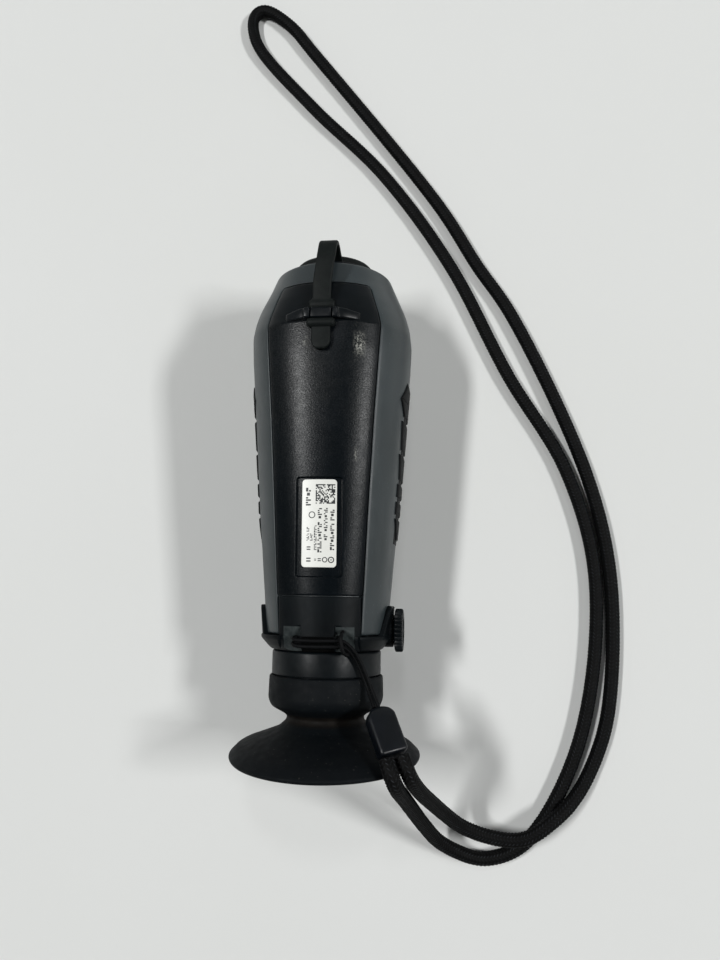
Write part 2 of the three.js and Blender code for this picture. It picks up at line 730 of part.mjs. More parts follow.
// ---------------------------------------------------------------- chassis, boards and battery

const CHASSIS = { rear: 7, front: 81.6, low: -4.5, high: -2.7, half: 17 };
const MAINBOARD = { low: -7.6, high: -6.3, half: 16.4, rear: 8.5, front: 79 };
const SCREW_PLACES = [
  { x: -14, s: 12 },
  { x: 14, s: 12 },
  { x: -14, s: 75.5 },
  { x: 14, s: 75.5 },
];
const SCREW = { shank: 0.95, hole: 1.3, head: 1.9 };

function innerChassis() {
  const { rear, front, low, high, half } = CHASSIS;
  const plate = box([-half, rear, low], [half, front, high]);
  const rails = [-1, 1].map((side) =>
    box([side * half - 1, rear, low], [side * half + 1, front, 4]),
  );
  const bulkhead = box([-half - 1, front - 2, -15], [half + 1, front, 17]);
  const window = box([-8, front - 3, -1.5], [8, front + 1, 6]);
  const posts = SCREW_PLACES.map(({ x, s }) => rodZ(2.4, MAINBOARD.high + GAP, low + 0.2, x, s));
  const holes = SCREW_PLACES.map(({ x, s }) => rodZ(SCREW.hole, -20, high + 1, x, s));
  return cut(join(plate, ...rails, bulkhead, ...posts), window, ...holes);
}

function mainboard() {
  const { low, high, half, rear, front } = MAINBOARD;
  const sheet = box([-half, rear, low], [half, front, high]);
  const chips = [
    box([-8, 20, low - 1.6], [6, 34, low + 0.2]),
    box([-7, 42, low - 2.2], [9, 56, low + 0.2]),
    box([-12, 60, low - 1.2], [-4, 70, low + 0.2]),
    box([0, 62, low - 3], [8, 72, low + 0.2]),
  ];
  const holes = SCREW_PLACES.map(({ x, s }) => rodZ(SCREW.hole, low - 1, high + 1, x, s));
  return cut(join(sheet, ...chips), ...holes);
}

function boardScrew({ x, s }) {
  const head = rodZ(SCREW.head, MAINBOARD.low - 1.5, MAINBOARD.low - GAP, x, s);
  const slot = box([x - 1.2, s - 0.3, MAINBOARD.low - 2], [x + 1.2, s + 0.3, MAINBOARD.low - 1]);
  return head.add(rodZ(SCREW.shank, MAINBOARD.low - 1, CHASSIS.high - 0.2, x, s)).subtract(slot);
}

const CELL = { radius: 9.2, rear: 11.5, front: 76.5, z: 8.4 };

function batteryCell() {
  const can = rodY(CELL.radius, CELL.rear, CELL.front - 1.2, 0, CELL.z, 32);
  return can.add(rodY(3, CELL.front - 2, CELL.front, 0, CELL.z, 32));
}

function batteryCradle() {
  const block = box([-11.4, CELL.rear - 2.2, -2.3], [11.4, CELL.front + 2, 7]);
  const bed = rodY(CELL.radius + GAP, CELL.rear - GAP, CELL.front + GAP, 0, CELL.z, 32);
  return block.subtract(bed);
}

function keypadBoard() {
  const sheet = box([-KEYPAD.half, 16, KEYPAD.low], [KEYPAD.half, 67, KEYPAD.high]);
  const domes = Object.values(BUTTON_STATIONS).map((s) =>
    rodZ(KEYPAD.dome, KEYPAD.low - KEYPAD.domeHeight, KEYPAD.low + 0.1, 0, s),
  );
  return join(sheet, ...domes);
}

// A bent ribbon from the keypad board up to the mainboard.
function keypadFlex() {
  const outline = [
    [67.4, -20.2],
    [71.6, -20.2],
    [71.6, -10.9],
    [71.3, -10.9],
    [71.3, -19.9],
    [67.4, -19.9],
  ];
  return prismX(outline, 1, 7);
}

function displayModule() {
  const frame = box([-12.5, -1, -9.5], [12.5, 2.4, 9.5]);
  return frame.subtract(box([-10.5, -2, -7.8], [10.5, -0.6, 7.8]));
}

function displayBoard() {
  const sheet = box([-13.5, 2.8, -10.5], [13.5, 4, 10.5]);
  const socket = box([-5, 3.9, -9.5], [5, 5.6, -6.5]);
  return sheet.add(socket);
}

function portConnector() {
  const { s, halfLength, halfHeight } = PORT;
  const sleeve = box([-20.9, s - halfLength, -halfHeight], [-15.4, s + halfLength, halfHeight]);
  const mouth = box(
    [-22, s - halfLength + 0.4, -halfHeight + 0.4],
    [-16.4, s + halfLength - 0.4, halfHeight - 0.4],
  );
  return sleeve.subtract(mouth);
}

// ---------------------------------------------------------------- lens cap strap

const STRAP = { half: 3.35, thickness: 1.7, neckHalf: 3.1, neckLow: 27.5, neckHigh: 28.6 };

// Centre line of the strap in the middle plane, from the top of the cap back to the bridge.
const STRAP_LINE = [
  [122, 15],
  [122.7, 17.6],
  [123.6, 21],
  [123.6, 24.6],
  [121.6, 27.8],
  [117.4, 29.3],
  [110, 29.4],
  [104, 28.9],
  [98.6, 28.4],
];

function ribbonOutline(line, thickness) {
  const curve = new THREE.SplineCurve(line.map(([s, z]) => new THREE.Vector2(s, z)));
  const steps = 22;
  const upper = [];
  const lower = [];
  for (let i = 0; i <= steps; i += 1) {
    const point = curve.getPointAt(i / steps);
    const way = curve.getTangentAt(i / steps);
    const [ds, dz] = [(-way.y * thickness) / 2, (way.x * thickness) / 2];
    upper.push([point.x + ds, point.y + dz]);
    lower.push([point.x - ds, point.y - dz]);
  }
  return [...upper, ...lower.reverse()];
}

function capStrap() {
  const { half, thickness, neckHalf, neckLow, neckHigh } = STRAP;
  const ribbon = prismX(ribbonOutline(STRAP_LINE, thickness), -half, half);
  const shoulderPlan = [
    [half, 101.6],
    [4.3, 99.2],
    [4.3, 98],
    [-4.3, 98],
    [-4.3, 99.2],
    [-half, 101.6],
  ];
  const shoulder = prismZ(shoulderPlan, neckLow + 0.1, neckHigh + 0.9);
  const neck = box([-neckHalf, 91.4, neckLow], [neckHalf, 99, neckHigh]);
  const bead = rodX(1.5, -4.9, 4.9, 92.4, 29.7);
  const tailLow = 28.5;
  const tail = box([-neckHalf, 86.2, tailLow], [neckHalf, 92, tailLow + 1.6]);
  const tailEnd = rodZ(neckHalf, tailLow, tailLow + 1.6, 0, 86.2, 24);
  const rise = box([-neckHalf, 91.4, neckLow + 0.4], [neckHalf, 92.6, tailLow + 1]);
  return join(ribbon, shoulder, neck, bead, rise, tail, tailEnd);
}

// ---------------------------------------------------------------- lanyard

const LANYARD = { diameter: 5.3, steps: 80, sides: 8, rest: 2.75 };
const TETHER = { diameter: 1.3, steps: 72, sides: 8 };
const CLIP = { width: 9.4, length: 15.6, thickness: 5.6, roll: 0.52 };

// Centre of the clip's upper end and of its lower end, heights from the table.
const CLIP_TOP = new THREE.Vector3(19.6, -35.2, 51.4);
const CLIP_FOOT = new THREE.Vector3(25.6, -48.6, 57.6);

// The thick braided loop: it leaves the clip, drops over the eyecup's rim to the table, runs
// out and back there, crosses under itself and climbs back to the clip.
const REST = LANYARD.rest;
const LANYARD_ROUTE = [
  [28.1, -48.8, 56.7],
  [29.2, -51.4, 58],
  [30.4, -54.2, 57.8],
  [31.6, -57.6, 53.2],
  [33.9, -62.3, 45.5],
  [37.3, -68, 34.5],
  [42, -74.8, 22.5],
  [48.1, -81.1, 13.5],
  [59.1, -85.7, 8.6],
  [70.2, -86, 8.4],
  [80, -79.8, 8],
  [88.5, -72.6, 5],
  [96.6, -59.7, REST],
  [102.6, -41.2, REST],
  [105.3, 8.4, REST],
  [97.8, 48.6, REST],
  [69.3, 116.5, REST],
  [55.6, 138.4, REST],
  [40.2, 165.3, REST],
  [-18.2, 245.2, REST],
  [-27.2, 257.2, REST],
  [-40.4, 266.6, REST],
  [-44.4, 264.1, REST],
  [-43.5, 251, REST],
  [-16.5, 216.2, REST],
  [15.2, 182.3, REST],
  [44.4, 138.8, REST],
  [67.7, 90.4, REST],
  [89.7, 51, REST],
  [99.6, 8.3, REST],
  [91.5, -52.8, REST],
  [70.7, -89, REST],
  [55.7, -95, REST + 0.1],
  [48.3, -93.1, 4.4],
  [39.8, -87.5, 10.5],
  [35.3, -80.6, 19.5],
  [28.9, -65.6, 43],
  [25.8, -56, 60.7],
  [24.6, -52.4, 61.4],
  [23.5, -49.8, 59.2],
];

// The thin tether: a doubled cord hitched round the tongue, its bight lying over the two tails.
const TETHER_ROUTE = [
  [18.8, -35.1, 51.7],
  [15.9, -28.5, 48.6],
  [12.6, -21, 49.9],
  [10.6, -17.6, 52.6],
  [8.6, -16, 54.3],
  [5.8, -15.9, 54.9],
  [0, -16, 54.9],
  [-5.6, -15.9, 54.8],
  [-7.9, -15.6, 53.8],
  [-8.4, -15, 52.3],
  [-7, -14.9, 51.7],
  [-5, -14.9, 51.6],
  [0, -14.9, 51.6],
  [5.4, -14.9, 51.6],
  [7.6, -15.2, 51.7],
  [9.4, -17.2, 52.2],
  [10, -18.4, 53.8],
  [8.9, -17.6, 55.9],
  [8.3, -15, 56.7],
  [8.1, -12.4, 56.2],
  [8.4, -11.1, 54.4],
  [8, -11.5, 52.3],
  [6.6, -12.7, 51.7],
  [5, -13.1, 51.6],
  [0, -13.1, 51.6],
  [-5, -13.1, 51.6],
  [-7, -13.1, 51.8],
  [-8.2, -13.3, 52.8],
  [-7.6, -13.8, 54.3],
  [-5.6, -14, 54.9],
  [0, -14.1, 54.9],
  [5.8, -14, 54.9],
  [8.6, -14.2, 54.5],
  [11.2, -16.3, 53],
  [13.7, -20.3, 50.6],
  [17, -27.8, 49.2],
  [20.2, -34.8, 51],
];

function cord(route, { diameter, steps, sides }) {
  const points = route.map(([x, s, z]) => new THREE.Vector3(x, s, z));
  const extrudePath = new THREE.CatmullRomCurve3(points, false, "centripetal");
  const section = new THREE.Shape();
  for (let i = 0; i < sides; i += 1) {
    const angle = (2 * Math.PI * (i + 0.5)) / sides;
    const corner = [(diameter / 2) * Math.cos(angle), (diameter / 2) * Math.sin(angle)];
    if (i === 0) section.moveTo(...corner);
    else section.lineTo(...corner);
  }
  return new THREE.ExtrudeGeometry(section, { steps, extrudePath, bevelEnabled: false });
}

// The clip: a flat hollow block with a round shoulder, lying aslant over the flare.
function cordClip() {
  const { width, length, thickness, roll } = CLIP;
  const half = width / 2;
  const shoulder = length / 2 - half * 0.8;
  const outline = [
    [-half, -length / 2],
    [half, -length / 2],
    [half, shoulder],
  ];
  for (let i = 1; i < 8; i += 1) {
    const angle = (Math.PI * i) / 8;
    outline.push([half * Math.cos(angle), shoulder + half * 0.8 * Math.sin(angle)]);
  }
  outline.push([-half, shoulder]);
  const shape = extrude(outline, thickness).translate(0, 0, -thickness / 2);
  const along = new THREE.Vector3().subVectors(CLIP_TOP, CLIP_FOOT).normalize();
  const level = new THREE.Vector3(0, 0, 1).cross(along).normalize().negate();
  const across = level.clone().applyAxisAngle(along, roll);
  const face = new THREE.Vector3().crossVectors(across, along);
  const middle = new THREE.Vector3().addVectors(CLIP_TOP, CLIP_FOOT).multiplyScalar(0.5);
  const place = new THREE.Matrix4().makeBasis(across, along, face).setPosition(middle);
  return shape.applyMatrix4(place);
}

// ---------------------------------------------------------------- assembly

add("armour_shell", armourShell(), "slateShell");
add("bottom_panel", bottomPanel(), "grainedPanel");
add("top_panel", topPanel(), "grainedPanel");
add("rear_collar", rearCollar(), "satinBlack");
add("side_grip_right", sideGrip(1), "rubber");
add("side_grip_left", sideGrip(-1), "rubber");
add("front_bezel", tube(BEZEL.outer, BEZEL.inner, BEZEL.rear, BEZEL.front), "satinBlack");
add("label", onRecessSlope(LABEL.half, LABEL.rear, LABEL.front, 0.08, 0.08 + LABEL.thickness), "label");

add("eyepiece_barrel", eyepieceBarrel(), "satinBlack");
add("eyecup", eyecup(), "rubber");
add("lens_carrier", lensCarrier(), "blackMetal");
add("carrier_o_ring", tube(14.66, 13.7, CARRIER.groove - 0.5, CARRIER.groove + 0.5), "rubber");
add("eye_lens_rear", lens(12.4, -29.6, 1.4, 2.2, 2), "glass");
add("eye_lens_front", lens(12.4, -20.4, 1.4, 1.4, 2.6), "glass");
add("focus_knob", focusKnob(), "satinBlack");
add("focus_shaft", focusShaft(), "steel");
add("knob_bushing", knobBushing(), "brass");

add("objective_barrel", objectiveBarrel(), "blackMetal");
add("objective_lens_front", lens(12.5, 111.2, 1.6, -0.8, 2.2), "germanium");
add("objective_lens_rear", lens(12.5, 103.8, 1.6, 1.4, -0.7), "germanium");
add("lens_retaining_ring", tube(12.5, 11, 114.4, 116.2), "blackMetal");
add("objective_o_ring", tube(14.7, 13.6, 113.6, 114.6), "rubber");
add("sensor_core", sensorCore(), "castAlloy");
add("shutter_blade", shutterBlade(), "blackMetal");
add("shutter_motor", shutterMotor(), "steel");

add("inner_chassis", innerChassis(), "castAlloy");
add("mainboard", mainboard(), "board");
SCREW_PLACES.forEach((place, i) => add(`board_screw_${i + 1}`, boardScrew(place), "steel"));
add("battery_cell", batteryCell(), "wrap");
add("battery_cradle", batteryCradle(), "satinBlack");
add("keypad_board", keypadBoard(), "board");
add("keypad_flex", keypadFlex(), "brass");
for (const [name, s] of Object.entries(BUTTON_STATIONS)) {
  add(`${name}_button`, button(s), "rubber");
}
add("display_module", displayModule(), "glossBlack");
add("display_board", displayBoard(), "board");
add("port_connector", portConnector(), "steel");
add("port_board", box([-19, -12, -3.1], [-14, -2, -PORT.halfHeight - 0.2]), "board");
add("port_cover", portCover(), "rubber");

add("lens_cap", lensCap(), "strapRubber");
add("cap_strap", capStrap(), "strapRubber");

add("cord_clip", cordClip(), "glossBlack", onTable);
add("tether_cord", cord(TETHER_ROUTE, TETHER), "braid", onTable);
add("lanyard_cord", cord(LANYARD_ROUTE, LANYARD), "braid", onTable);

export default camera;
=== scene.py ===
"""The looks of a thermal imaging camera that lies underside up with its wrist lanyard."""

import json
import math

import bmesh
import bpy
import numpy as np
from mathutils import Matrix, Vector


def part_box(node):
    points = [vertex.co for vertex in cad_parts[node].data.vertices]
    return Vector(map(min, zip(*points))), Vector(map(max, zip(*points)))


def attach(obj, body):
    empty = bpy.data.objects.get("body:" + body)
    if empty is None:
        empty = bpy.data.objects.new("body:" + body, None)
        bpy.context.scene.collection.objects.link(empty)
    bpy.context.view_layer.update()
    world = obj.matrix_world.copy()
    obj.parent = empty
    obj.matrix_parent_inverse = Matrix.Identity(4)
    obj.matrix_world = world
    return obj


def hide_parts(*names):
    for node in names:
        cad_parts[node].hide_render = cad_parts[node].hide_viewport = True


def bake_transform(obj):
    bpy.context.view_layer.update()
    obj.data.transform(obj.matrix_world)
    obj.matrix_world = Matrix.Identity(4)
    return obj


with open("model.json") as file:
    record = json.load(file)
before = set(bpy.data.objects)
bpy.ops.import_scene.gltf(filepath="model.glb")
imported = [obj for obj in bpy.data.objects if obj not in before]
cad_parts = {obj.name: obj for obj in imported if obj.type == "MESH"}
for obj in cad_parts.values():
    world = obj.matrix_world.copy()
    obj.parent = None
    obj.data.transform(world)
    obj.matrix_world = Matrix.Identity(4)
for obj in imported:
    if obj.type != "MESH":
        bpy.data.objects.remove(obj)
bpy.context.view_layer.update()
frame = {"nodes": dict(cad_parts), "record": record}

# ---- frame and driving dimensions
# Lengths are millimetres. A place is (x, s, z): s is the station along the camera, measured from
# the rear seam of the bottom panel, and z is the height above the optical axis.

MM = 0.001
RING_FRONT_S = 116.2  # station of the lens retaining ring's front face
AXIS_Z = sum(corner.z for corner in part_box("objective_barrel")) / 2 / MM
MIDDLE_S = RING_FRONT_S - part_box("lens_retaining_ring")[1].y / MM

GAP = 0.3  # between pieces that touch
CREASE_BLUR = 0.5  # the black panel keeps its crease
SHELL_BLUR = 1.2  # the grey shell is rounded along the camera
CROWN_EASE = 0.3  # how much rounder the underside is than the button side
SHELL_REAR, SHELL_FRONT = -12.4, 118.0
PANEL_REAR, PANEL_FRONT = 0.6, 109.3
CREASE_S = 93.8
TOP_PANEL_REAR, TOP_PANEL_FRONT = 13.0, 104.0
COLLAR_REAR, COLLAR_FRONT = -17.8, -12.7

# Station, half width, rise to the underside, depth to the button side, squareness.
BODY = np.array([
    [-14, 21.3, 22.4, 22.6, 2.3],
    [0, 22.4, 23.1, 23.8, 2.4],
    [29, 24.9, 24.8, 26.8, 2.5],
    [61.5, 27.3, 26.6, 30.4, 2.6],
    [85, 29.1, 27.9, 33.2, 2.7],
    [93.8, 29.5, 28.2, 34.2, 2.7],
    [99, 28.9, 27, 33.4, 2.6],
    [104, 27.5, 25.8, 31.4, 2.5],
    [112, 24.2, 23.7, 27, 2.3],
    [117.5, 21.9, 22.2, 23.4, 2.1],
    [120, 20.9, 20.9, 20.9, 2],
])
COLLAR = np.array([
    [-17.8, 19.6, 19.6, 19.6, 2],
    [-16.4, 21, 20.9, 21, 2.1],
    [-13.8, 23, 22.4, 22.8, 2.3],
    [-12.7, 23, 22.45, 22.9, 2.3],
])
# Station and half width of the black panel on the underside and of the one on the button side.
PANEL_PLAN = np.array([
    [-14, 14], [29, 16.1], [61.5, 17.9], [93.8, 20.1], [98, 19.2], [108.4, 16.1], [120, 12.4],
])
TOP_PANEL_PLAN = np.array([[13, 8], [17, 11], [60, 13], [95, 14], [100, 12], [104, 8]])


def in_frame(x, s, z):
    """A place of the camera as a point of the row frame, in metres."""
    return (x * MM, (s - MIDDLE_S) * MM, (z + AXIS_Z) * MM)


def placed(name, data):
    """A new object in the scene."""
    thing = bpy.data.objects.new(name, data)
    bpy.context.scene.collection.objects.link(thing)
    return thing


# ---- camera view

EYE = (41.05, 0.0, 303.0 - AXIS_Z)
LOOK_AHEAD, LOOK_LEFT, ROLL = (math.radians(angle) for angle in (8.95, 6.36, 0.874))
FOCAL_MM, SENSOR_MM = 28.125, 36.0


def add_camera():
    data = bpy.data.cameras.new("photo_view")
    data.sensor_fit = "VERTICAL"
    data.sensor_height = SENSOR_MM
    data.lens = FOCAL_MM
    ahead = Vector((
        -math.sin(LOOK_LEFT) * math.cos(LOOK_AHEAD),
        math.sin(LOOK_AHEAD),
        -math.cos(LOOK_AHEAD) * math.cos(LOOK_LEFT),
    )).normalized()
    right = ahead.cross(Vector((0, 1, 0))).normalized()
    up = right.cross(ahead)
    turned_right = right * math.cos(ROLL) + up * math.sin(ROLL)
    turned_up = up * math.cos(ROLL) - right * math.sin(ROLL)
    turn = Matrix((turned_right, turned_up, -ahead)).transposed()
    camera = placed("photo_view", data)
    camera.matrix_world = Matrix.Translation(in_frame(*EYE)) @ turn.to_4x4()
    bpy.context.scene.camera = camera


# ---- meshes

class Shape:
    """The points and faces of one piece, gathered part by part."""

    def __init__(self):
        self.points = []
        self.faces = []
        self.count = 0

    def add(self, points, faces):
        points = np.asarray(points, float).reshape(-1, 3)
        self.faces += [[corner + self.count for corner in face] for face in faces]
        self.points.append(points)
        self.count += len(points)

    def grid(self, points, wrap_rows=False, wrap_cols=False, caps=False):
        """Quads over rows and columns of points; caps closes the first and the last row."""
        points = np.asarray(points, float)
        rows, cols = points.shape[:2]
        faces = quads(rows, cols, wrap_rows, wrap_cols)
        if caps:
            faces += [list(range(cols)), list(range((rows - 1) * cols, rows * cols))]
        self.add(points, faces)

    def slab(self, top, bottom):
        """A closed sheet between two grids with the same rows and columns."""
        rows, cols = top.shape[:2]
        under = rows * cols
        faces = quads(rows, cols)
        faces += [[corner + under for corner in face] for face in faces]
        rim = [*range(cols), *range(2 * cols - 1, under, cols)]
        rim += [*range(under - 2, under - cols - 1, -1), *range(under - 2 * cols, 0, -cols)]
        for a, b in zip(rim, rim[1:] + rim[:1]):
            faces.append([a, b, b + under, a + under])
        self.add(np.concatenate([top.reshape(-1, 3), bottom.reshape(-1, 3)]), faces)


def quads(rows, cols, wrap_rows=False, wrap_cols=False):
    row = np.arange(rows if wrap_rows else rows - 1)[:, None]
    col = np.arange(cols if wrap_cols else cols - 1)[None, :]
    next_row, next_col = (row + 1) % rows, (col + 1) % cols
    corners = [row * cols + col, row * cols + next_col, next_row * cols + next_col, next_row * cols + col]
    return np.stack(np.broadcast_arrays(*corners), -1).reshape(-1, 4).tolist()


def build(name, shape, finish, node=None, body="housing", sharp=32, masks=None):
    """Makes the piece's object; masks are named numbers per point that its finish reads."""
    places = (np.concatenate(shape.points) + [0, -MIDDLE_S, AXIS_Z]) * MM
    mesh = bpy.data.meshes.new(name)
    mesh.from_pydata(places.tolist(), [], shape.faces)
    tool = bmesh.new()
    tool.from_mesh(mesh)
    bmesh.ops.recalc_face_normals(tool, faces=tool.faces)
    tool.to_mesh(mesh)
    tool.free()
    mesh.shade_smooth()
    mesh.set_sharp_from_angle(angle=math.radians(sharp))
    for mask, values in (masks or {}).items():
        layer = mesh.attributes.new(mask, "FLOAT", "POINT")
        layer.data.foreach_set("value", np.asarray(values, np.float32))
    mesh.materials.append(finish())
    piece = placed(name, mesh)
    if body:
        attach(piece, body)
    if node:
        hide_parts(node)
    return piece


def smoothstep(low, high, value):
    share = np.clip((value - low) / (high - low), 0, 1)
    return share * share * (3 - 2 * share)


def edge_drop(distance, radius):
    """How far a rounded edge lies below its face, at this distance inside the edge."""
    inside = np.clip(radius - distance, 0, radius)
    return radius - np.sqrt(radius**2 - inside**2)


EDGE_STEPS = np.array([0, 0.03, 0.12, 0.3, 0.6, 1.0])  # shares of an edge's radius


def merged(*parts):
    """The values of all the parts, once each and in order."""
    return np.unique(np.round(np.concatenate(parts), 3))


def mirrored(right):
    """Columns from the left edge to the right one, given those from the middle to the right."""
    return np.concatenate([-right[..., :0:-1], right], -1)


def spline(points, count):
    """A centripetal Catmull-Rom curve through the points, as places evenly spaced along it."""
    points = np.asarray(points, float)
    ends = [2 * points[0] - points[1], *points, 2 * points[-1] - points[-2]]
    share = np.linspace(0, 1, 40, endpoint=False)[:, None]
    found = []
    for before, start, end, after in zip(ends, ends[1:], ends[2:], ends[3:]):
        steps = [np.linalg.norm(b - a) ** 0.5 for a, b in ((before, start), (start, end), (end, after))]
        first, middle, last = steps
        leave = (start - before) / first - (end - before) / (first + middle) + (end - start) / middle
        reach = (end - start) / middle - (after - start) / (middle + last) + (after - end) / last
        leave, reach = leave * middle, reach * middle
        cubic = 2 * start - 2 * end + leave + reach
        square = -3 * start + 3 * end - 2 * leave - reach
        found.append(start + leave * share + square * share**2 + cubic * share**3)
    dense = np.concatenate([*found, points[-1:]])
    run = np.concatenate([[0], np.cumsum(np.linalg.norm(np.diff(dense, axis=0), axis=1))])
    even = np.linspace(0, run[-1], count)
    return np.stack([np.interp(even, run, column) for column in dense.T], -1)


def carried_frames(path):
    """A tangent, a side and an upward direction at each point, turned as little as possible."""
    tangent = np.gradient(path, axis=0)
    tangent /= np.linalg.norm(tangent, axis=1, keepdims=True)
    side = np.empty_like(path)
    side[0] = np.cross(tangent[0], [0, 0, 1])
    for i in range(1, len(path)):
        side[i] = side[i - 1] - tangent[i] * np.dot(side[i - 1], tangent[i])
        side[i] /= np.linalg.norm(side[i])
    side[0] /= np.linalg.norm(side[0])
    return tangent, side, np.cross(side, tangent)


def circle(turns):
    return np.linspace(0, 2 * math.pi, turns, endpoint=False)


def turned(profile, turns):
    """A profile of (radius, s) pairs turned round the optical axis."""
    profile, angle = np.asarray(profile, float), circle(turns)
    radius, s = profile[:, :1], profile[:, 1:]
    return np.stack(np.broadcast_arrays(radius * np.cos(angle), s, radius * np.sin(angle)), -1)


def turned_across(x, radius, s, z=0.0):
    """Rings round a line that runs across the camera; radius has a value per ring and turn."""
    angle = circle(radius.shape[1])
    x = np.asarray(x)[:, None]
    return np.stack(np.broadcast_arrays(x, s + radius * np.cos(angle), z + radius * np.sin(angle)), -1)


def rounded(profile, radius=0.5, steps=4):
    """A closed profile of (radius, s) pairs with its corners rounded."""
    corners = np.asarray(profile, float)
    found = []
    for before, corner, after in zip(np.roll(corners, 1, 0), corners, np.roll(corners, -1, 0)):
        back, on = before - corner, after - corner
        reach = min(radius, np.linalg.norm(back) * 0.45, np.linalg.norm(on) * 0.45)
        start = corner + back / np.linalg.norm(back) * reach
        end = corner + on / np.linalg.norm(on) * reach
        for share in np.linspace(0, 1, steps):
            found.append((1 - share) ** 2 * start + 2 * share * (1 - share) * corner + share**2 * end)
    return found


# ---- the body's surface

def section(table, s, blur):
    """Half width, rise, depth and squareness at a station, averaged over the blur each way."""
    s = np.asarray(s, float)
    places = [s + offset for offset in np.linspace(-blur, blur, 9)]
    return [np.mean([np.interp(p, table[:, 0], table[:, k]) for p in places], axis=0) for k in range(1, 5)]


def underside_section(table, s, blur):
    """Half width, rise and squareness of the side that faces up."""
    half, under, _, square = section(table, s, blur)
    return half, under, np.maximum(square - CROWN_EASE, 2.0)


def arc_height(across, reach, rise, square):
    inside = 1 - np.minimum(np.abs(across) / reach, 1) ** square
    return rise * inside ** (1 / square)


def crown(x, s, table=BODY, blur=CREASE_BLUR):
    """Points of the underside, which faces up."""
    half, under, square = underside_section(table, s, blur)
    return np.stack([x, s, arc_height(x, half, under, square)], -1)


def flank(side):
    """The surface of one side as a function of station and height."""

    def points(s, z):
        half, under, top, square = section(BODY, s, SHELL_BLUR)
        rise = np.where(z > 0, under, top)
        square = np.where(z > 0, np.maximum(square - CROWN_EASE, 2.0), square)
        return np.stack([side * arc_height(z, rise, half, square), s, z], -1)

    return points


def lifted(surface, u, v, out):
    """Points of a surface moved outwards, away from the optical axis."""
    u, v, out = np.broadcast_arrays(*(np.asarray(value, float) for value in (u, v, out)))
    step = 0.05
    along_u = surface(u + step, v) - surface(u - step, v)
    along_v = surface(u, v + step) - surface(u, v - step)
    normal = np.cross(along_u, along_v)
    normal /= np.linalg.norm(normal, axis=-1, keepdims=True)
    points = surface(u, v)
    away = np.sum(normal * points * [1, 0, 1], -1, keepdims=True)
    return points + normal * np.where(away < 0, -1, 1) * out[..., None]


TABLE_STEP = 0.25
TABLE_S = np.arange(-18, 120.6, TABLE_STEP)
SHARES = np.linspace(0, 100, 801)  # hundredths of the way from the crown to the keel


def half_girths():
    """Rings of the body from crown to keel, evenly spaced, and their lengths."""
    angle = np.linspace(math.pi / 2, -math.pi / 2, 2401)
    across, up = np.abs(np.cos(angle)), np.sin(angle)
    rows, lengths = [], []
    for half, under, top, square in zip(*section(BODY, TABLE_S, SHELL_BLUR)):
        power = 2 / np.where(up > 0, max(square - CROWN_EASE, 2.0), square)
        x = half * across**power
        z = np.maximum(np.where(up > 0, under, top) * np.sign(up) * np.abs(up) ** power, -AXIS_Z)
        run = np.concatenate([[0], np.cumsum(np.hypot(np.diff(x), np.diff(z)))])
        percent = 100 * run / run[-1]
        rows.append([np.interp(SHARES, percent, x), np.interp(SHARES, percent, z)])
        lengths.append(run[-1])
    return np.array(rows), np.array(lengths)


GIRTHS, GIRTH_LENGTH = half_girths()


def around(percent, s):
    """Points of the body at a signed percent of the way round from the crown to the keel."""
    row = np.clip((s - TABLE_S[0]) / TABLE_STEP, 0, len(TABLE_S) - 1.001)
    col = np.clip(np.abs(percent) / 100 * (len(SHARES) - 1), 0, len(SHARES) - 1.001)
    i, j = row.astype(int), col.astype(int)
    a, b = row - i, col - j

    def mixed(k):
        low = GIRTHS[i, k, j] * (1 - b) + GIRTHS[i, k, j + 1] * b
        high = GIRTHS[i + 1, k, j] * (1 - b) + GIRTHS[i + 1, k, j + 1] * b
        return low * (1 - a) + high * a

    return np.stack([mixed(0) * np.sign(percent), s, mixed(1)], -1)


def percent_at(s, x, below=False):
    """How many percent of the way round the surface reaches x, above or below its widest line."""
    ring = around(SHARES, np.full(len(SHARES), float(s)))[:, 0]
    widest = int(np.argmax(ring))
    if below:
        return np.interp(-x, -ring[widest:], SHARES[widest:])
    return np.interp(x, ring[: widest + 1], SHARES[: widest + 1])


def plan_half(plan, s, rear, front, corner):
    """Half width of a panel at a station, with the corners of both ends rounded."""
    half = np.interp(s, plan[:, 0], plan[:, 1])
    short = np.clip(corner - np.minimum(s - rear, front - s), 0, corner)
    return half - corner + np.sqrt(corner**2 - short**2)


# ---- shell

PANEL_CORNER, TOP_CORNER = 1.2, 1.5
SHELL_EDGE = 0.4  # radius of the shell's edges along the panels
BED = 2.6  # how deep the panels' beds lie
SHELL_SKIN = 4.2  # from the outside of the shell to its inner face
END_RADIUS = 0.7
BED_COLUMNS, SHELL_COLUMNS = 6, 90
# Where stations stand closely round a panel's end.
STEP_STATIONS = np.array([-2.0, -1.4, -0.9, -0.5, -0.2, 0.05, 0.14, 0.16, 0.25, 0.4, 0.6])


